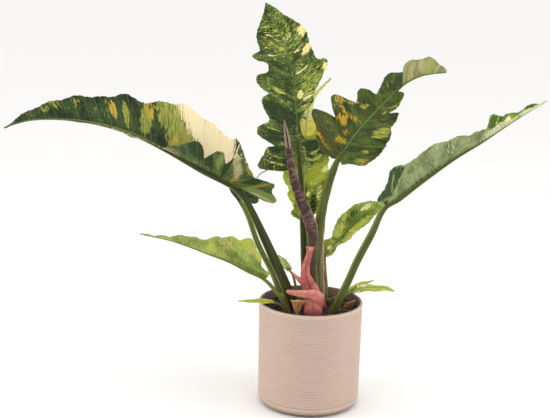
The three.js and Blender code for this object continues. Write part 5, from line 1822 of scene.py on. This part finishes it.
# %% Dried paper
def dried_paper(name, low, high, worn_edge):
    """low and high are its two tints, and worn_edge that of its rim."""
    skin, node = new_material(name)
    fibre, parts = tube_places(node)
    long_place = node("VectorMath", {0: fibre, 1: (0.08, 0.9, 0)}, **TIMES)
    strands = node("TexNoise", {"Vector": long_place, "Scale": 1, "Detail": 5, "Roughness": 0.65})
    tone = node("MapRange", {0: strands, 1: 0.35, 2: 0.65}, **SMOOTH)
    colour = node("Mix", {0: tone, 6: low, 7: high}, **COLOURS)
    worn = node("MapRange", {0: parts[2], 1: 0.8, 2: 0.96, 4: 0.8}, **SMOOTH)
    colour = node("Mix", {0: worn, 6: colour, 7: worn_edge}, **COLOURS)
    relief = node("Bump", {"Height": strands, "Strength": 0.5, "Distance": 0.5 * MM})
    crisp = node("BsdfPrincipled", {
        "Base Color": colour, "Roughness": 0.7, "Specular IOR Level": 0.3, "Normal": relief,
    })
    node("OutputMaterial", {"Surface": crisp}, None)
    return skin


tan_paper = dried_paper("dried_tan_sheath", "#7d4d28", "#b07a48", "#d8b88c")
brown_paper = dried_paper("dried_brown_sheath", "#38281c", "#67503a", "#a08468")
print("Papers:", tan_paper.name, brown_paper.name)

# %% [markdown]
# Four scraps stand in the soil: a triangle at the front that opens to the top, a curl and a small roll
# at the right, and a narrow one at the left.

# %% Dried scraps
SCRAPS = {
    "sheath_dry_triangle": dict(
        foot=[[-22, -44, 141], [-19, -44, 141]], top=[[-31, -40, 168], [-7, -38, 167]], bulge=4, flare=1.8,
    ),
    "sheath_dry_curl": dict(
        foot=[[24, 12, 138], [38, 16, 138]], top=[[19, 10, 152], [40, 20, 157]], bulge=4,
    ),
    "sheath_dry_roll": dict(
        foot=[[47, 4, 138], [58, 6, 138]], top=[[50, 3, 150], [66, 8, 154]], bulge=3,
    ),
    "sheath_dry_left": dict(
        foot=[[-33, -33, 138], [-29, -36, 138]], top=[[-44, -27, 174], [-40, -29, 171]], bulge=1.5,
    ),
}
BROWN_SCRAPS = ("sheath_dry_left", "sheath_dry_curl")

for name, scrap in SCRAPS.items():
    paper = brown_paper if name in BROWN_SCRAPS else tan_paper
    settle(lay_scrap(**scrap), name + "_scrap", [name], [paper])

# %% [markdown]
# ## Stems, roots and threads
#
# The stalks stand round short woody stems. Their bark is a matte olive brown, with a grain of a few
# millimetres that runs along them.

# %% Ringed woody stem
woody, node = new_material("ringed_woody_stem")
fibre = node("Attribute", None, "Vector", attribute_name="fibre")
place = node("VectorMath", {0: fibre, 1: (0.5, 1.6, 1.6)}, **TIMES)
grain = node("TexNoise", {"Vector": place, "Scale": 1, "Detail": 5, "Roughness": 0.65})
tone = node("MapRange", {0: grain, 1: 0.35, 2: 0.65}, **SMOOTH)
colour = node("Mix", {0: tone, 6: "#33301a", 7: "#6a6236"}, **COLOURS)
relief = node("Bump", {"Height": grain, "Strength": 0.6, "Distance": 0.8 * MM})
wood = node("BsdfPrincipled", {"Base Color": colour, "Roughness": 0.7, "Normal": relief})
node("OutputMaterial", {"Surface": wood}, None)
print("Bark of the stems:", woody.name)

# %% [markdown]
# The scars of leaves that have fallen ring a stem, so its radius swells and shrinks by a twentieth
# about every four millimetres.

# %% Stems
STEMS = {
    "stem_left": dict(points=[[-31, 2, 118], [-33, 2, 140], [-34, 3, 152]], radii=[6, 7.5, 7, 4]),
    "stem_centre": dict(points=[[1, 12, 118], [0, 12, 140], [-1, 12, 156]], radii=[6, 7.5, 7.5, 4.5]),
    "stem_right": dict(points=[[41, -6, 118], [40, -7, 138], [38, -8, 150]], radii=[6, 7, 6.5, 4]),
}
STEM_RINGS = 28

for name, stem in STEMS.items():
    line = Line(stem["points"])
    along = np.linspace(0, line.length, STEM_RINGS)
    radii = eased(stem["radii"], along / line.length) * (1 + 0.05 * np.sin(along * 1.6))
    settle(lay_tube(line.at(along), radii, 20), name + "_wood", [name], [woody])

# %% [markdown]
# Roots and dried threads are matte and mottled in two browns. They are too thin to show more.

# %% Mottled fibre
def mottled_fibre(name, stretch, low, high, roughness):
    """low and high are its two tints, and stretch scales its mottle along and round it."""
    skin, node = new_material(name)
    fibre = node("Attribute", None, "Vector", attribute_name="fibre")
    place = node("VectorMath", {0: fibre, 1: stretch}, **TIMES)
    mottle = node("TexNoise", {"Vector": place, "Scale": 1, "Detail": 3})
    colour = node("Mix", {0: mottle, 6: low, 7: high}, **COLOURS)
    tissue = node("BsdfPrincipled", {"Base Color": colour, "Roughness": roughness})
    node("OutputMaterial", {"Surface": tissue}, None)
    return skin


reddish_root = mottled_fibre("reddish_root", (0.3, 1, 1), "#4a2a20", "#9a6450", 0.6)
dried_thread = mottled_fibre("dried_thread", (0.5, 1, 1), "#2a2018", "#6e5a44", 0.7)
print("Fibres:", reddish_root.name, dried_thread.name)

# %% [markdown]
# Thin reddish roots wind over the soil. Each is a tube of uneven thickness that tapers to its end,
# where it dips into the soil.

# %% Roots
ROOT_RADIUS = 0.9
ROOT_RINGS = 26
ROOTS = [
    [[-8, -44, 143], [-2, -52, 144.5], [8, -58, 143.5], [16, -64, 142]],
    [[18, -30, 143], [30, -40, 145], [38, -52, 144], [46, -46, 142]],
    [[22, 2, 143], [34, -2, 145], [48, -12, 144], [58, -14, 142]],
    [[-40, -22, 143], [-48, -30, 144.5], [-44, -42, 144], [-34, -50, 142]],
    [[-10, 30, 143], [-22, 38, 144.5], [-36, 40, 143.5], [-44, 48, 142]],
    [[14, 30, 143], [22, 42, 144.5], [16, 54, 144], [4, 60, 142]],
]

for i, points in enumerate(ROOTS):
    line = Line(points)
    along = np.linspace(0, line.length, ROOT_RINGS)
    uneven = np.full(ROOT_RINGS, ROOT_RADIUS) * (1 + 0.25 * np.sin(along * 0.9))
    radii = uneven * np.linspace(1.1, 0.6, ROOT_RINGS)
    settle(lay_tube(line.at(along), radii, 8), "root_" + str(i + 1), [], [reddish_root])

# %% [markdown]
# Dark dried fibres hang among the stalks at the left, and a torn thread joins two leaves.

# %% Dried threads
THREAD_RINGS = 16
THREADS = [
    [[-56, -16, 196], [-51, -18, 187], [-47, -18, 177]],
    [[-53, -20, 187], [-50, -21, 179], [-47, -20, 170]],
    [[-64, -10, 350], [-70, -8, 345], [-76, -4, 341], [-83, -2, 332]],
]

for i, points in enumerate(THREADS):
    line = Line(points)
    along = np.linspace(0, line.length, THREAD_RINGS)
    radii = 0.7 + 0.25 * np.sin(along * 1.1)
    settle(lay_tube(line.at(along), radii, 7), "thread_" + str(i + 1), [], [dried_thread])
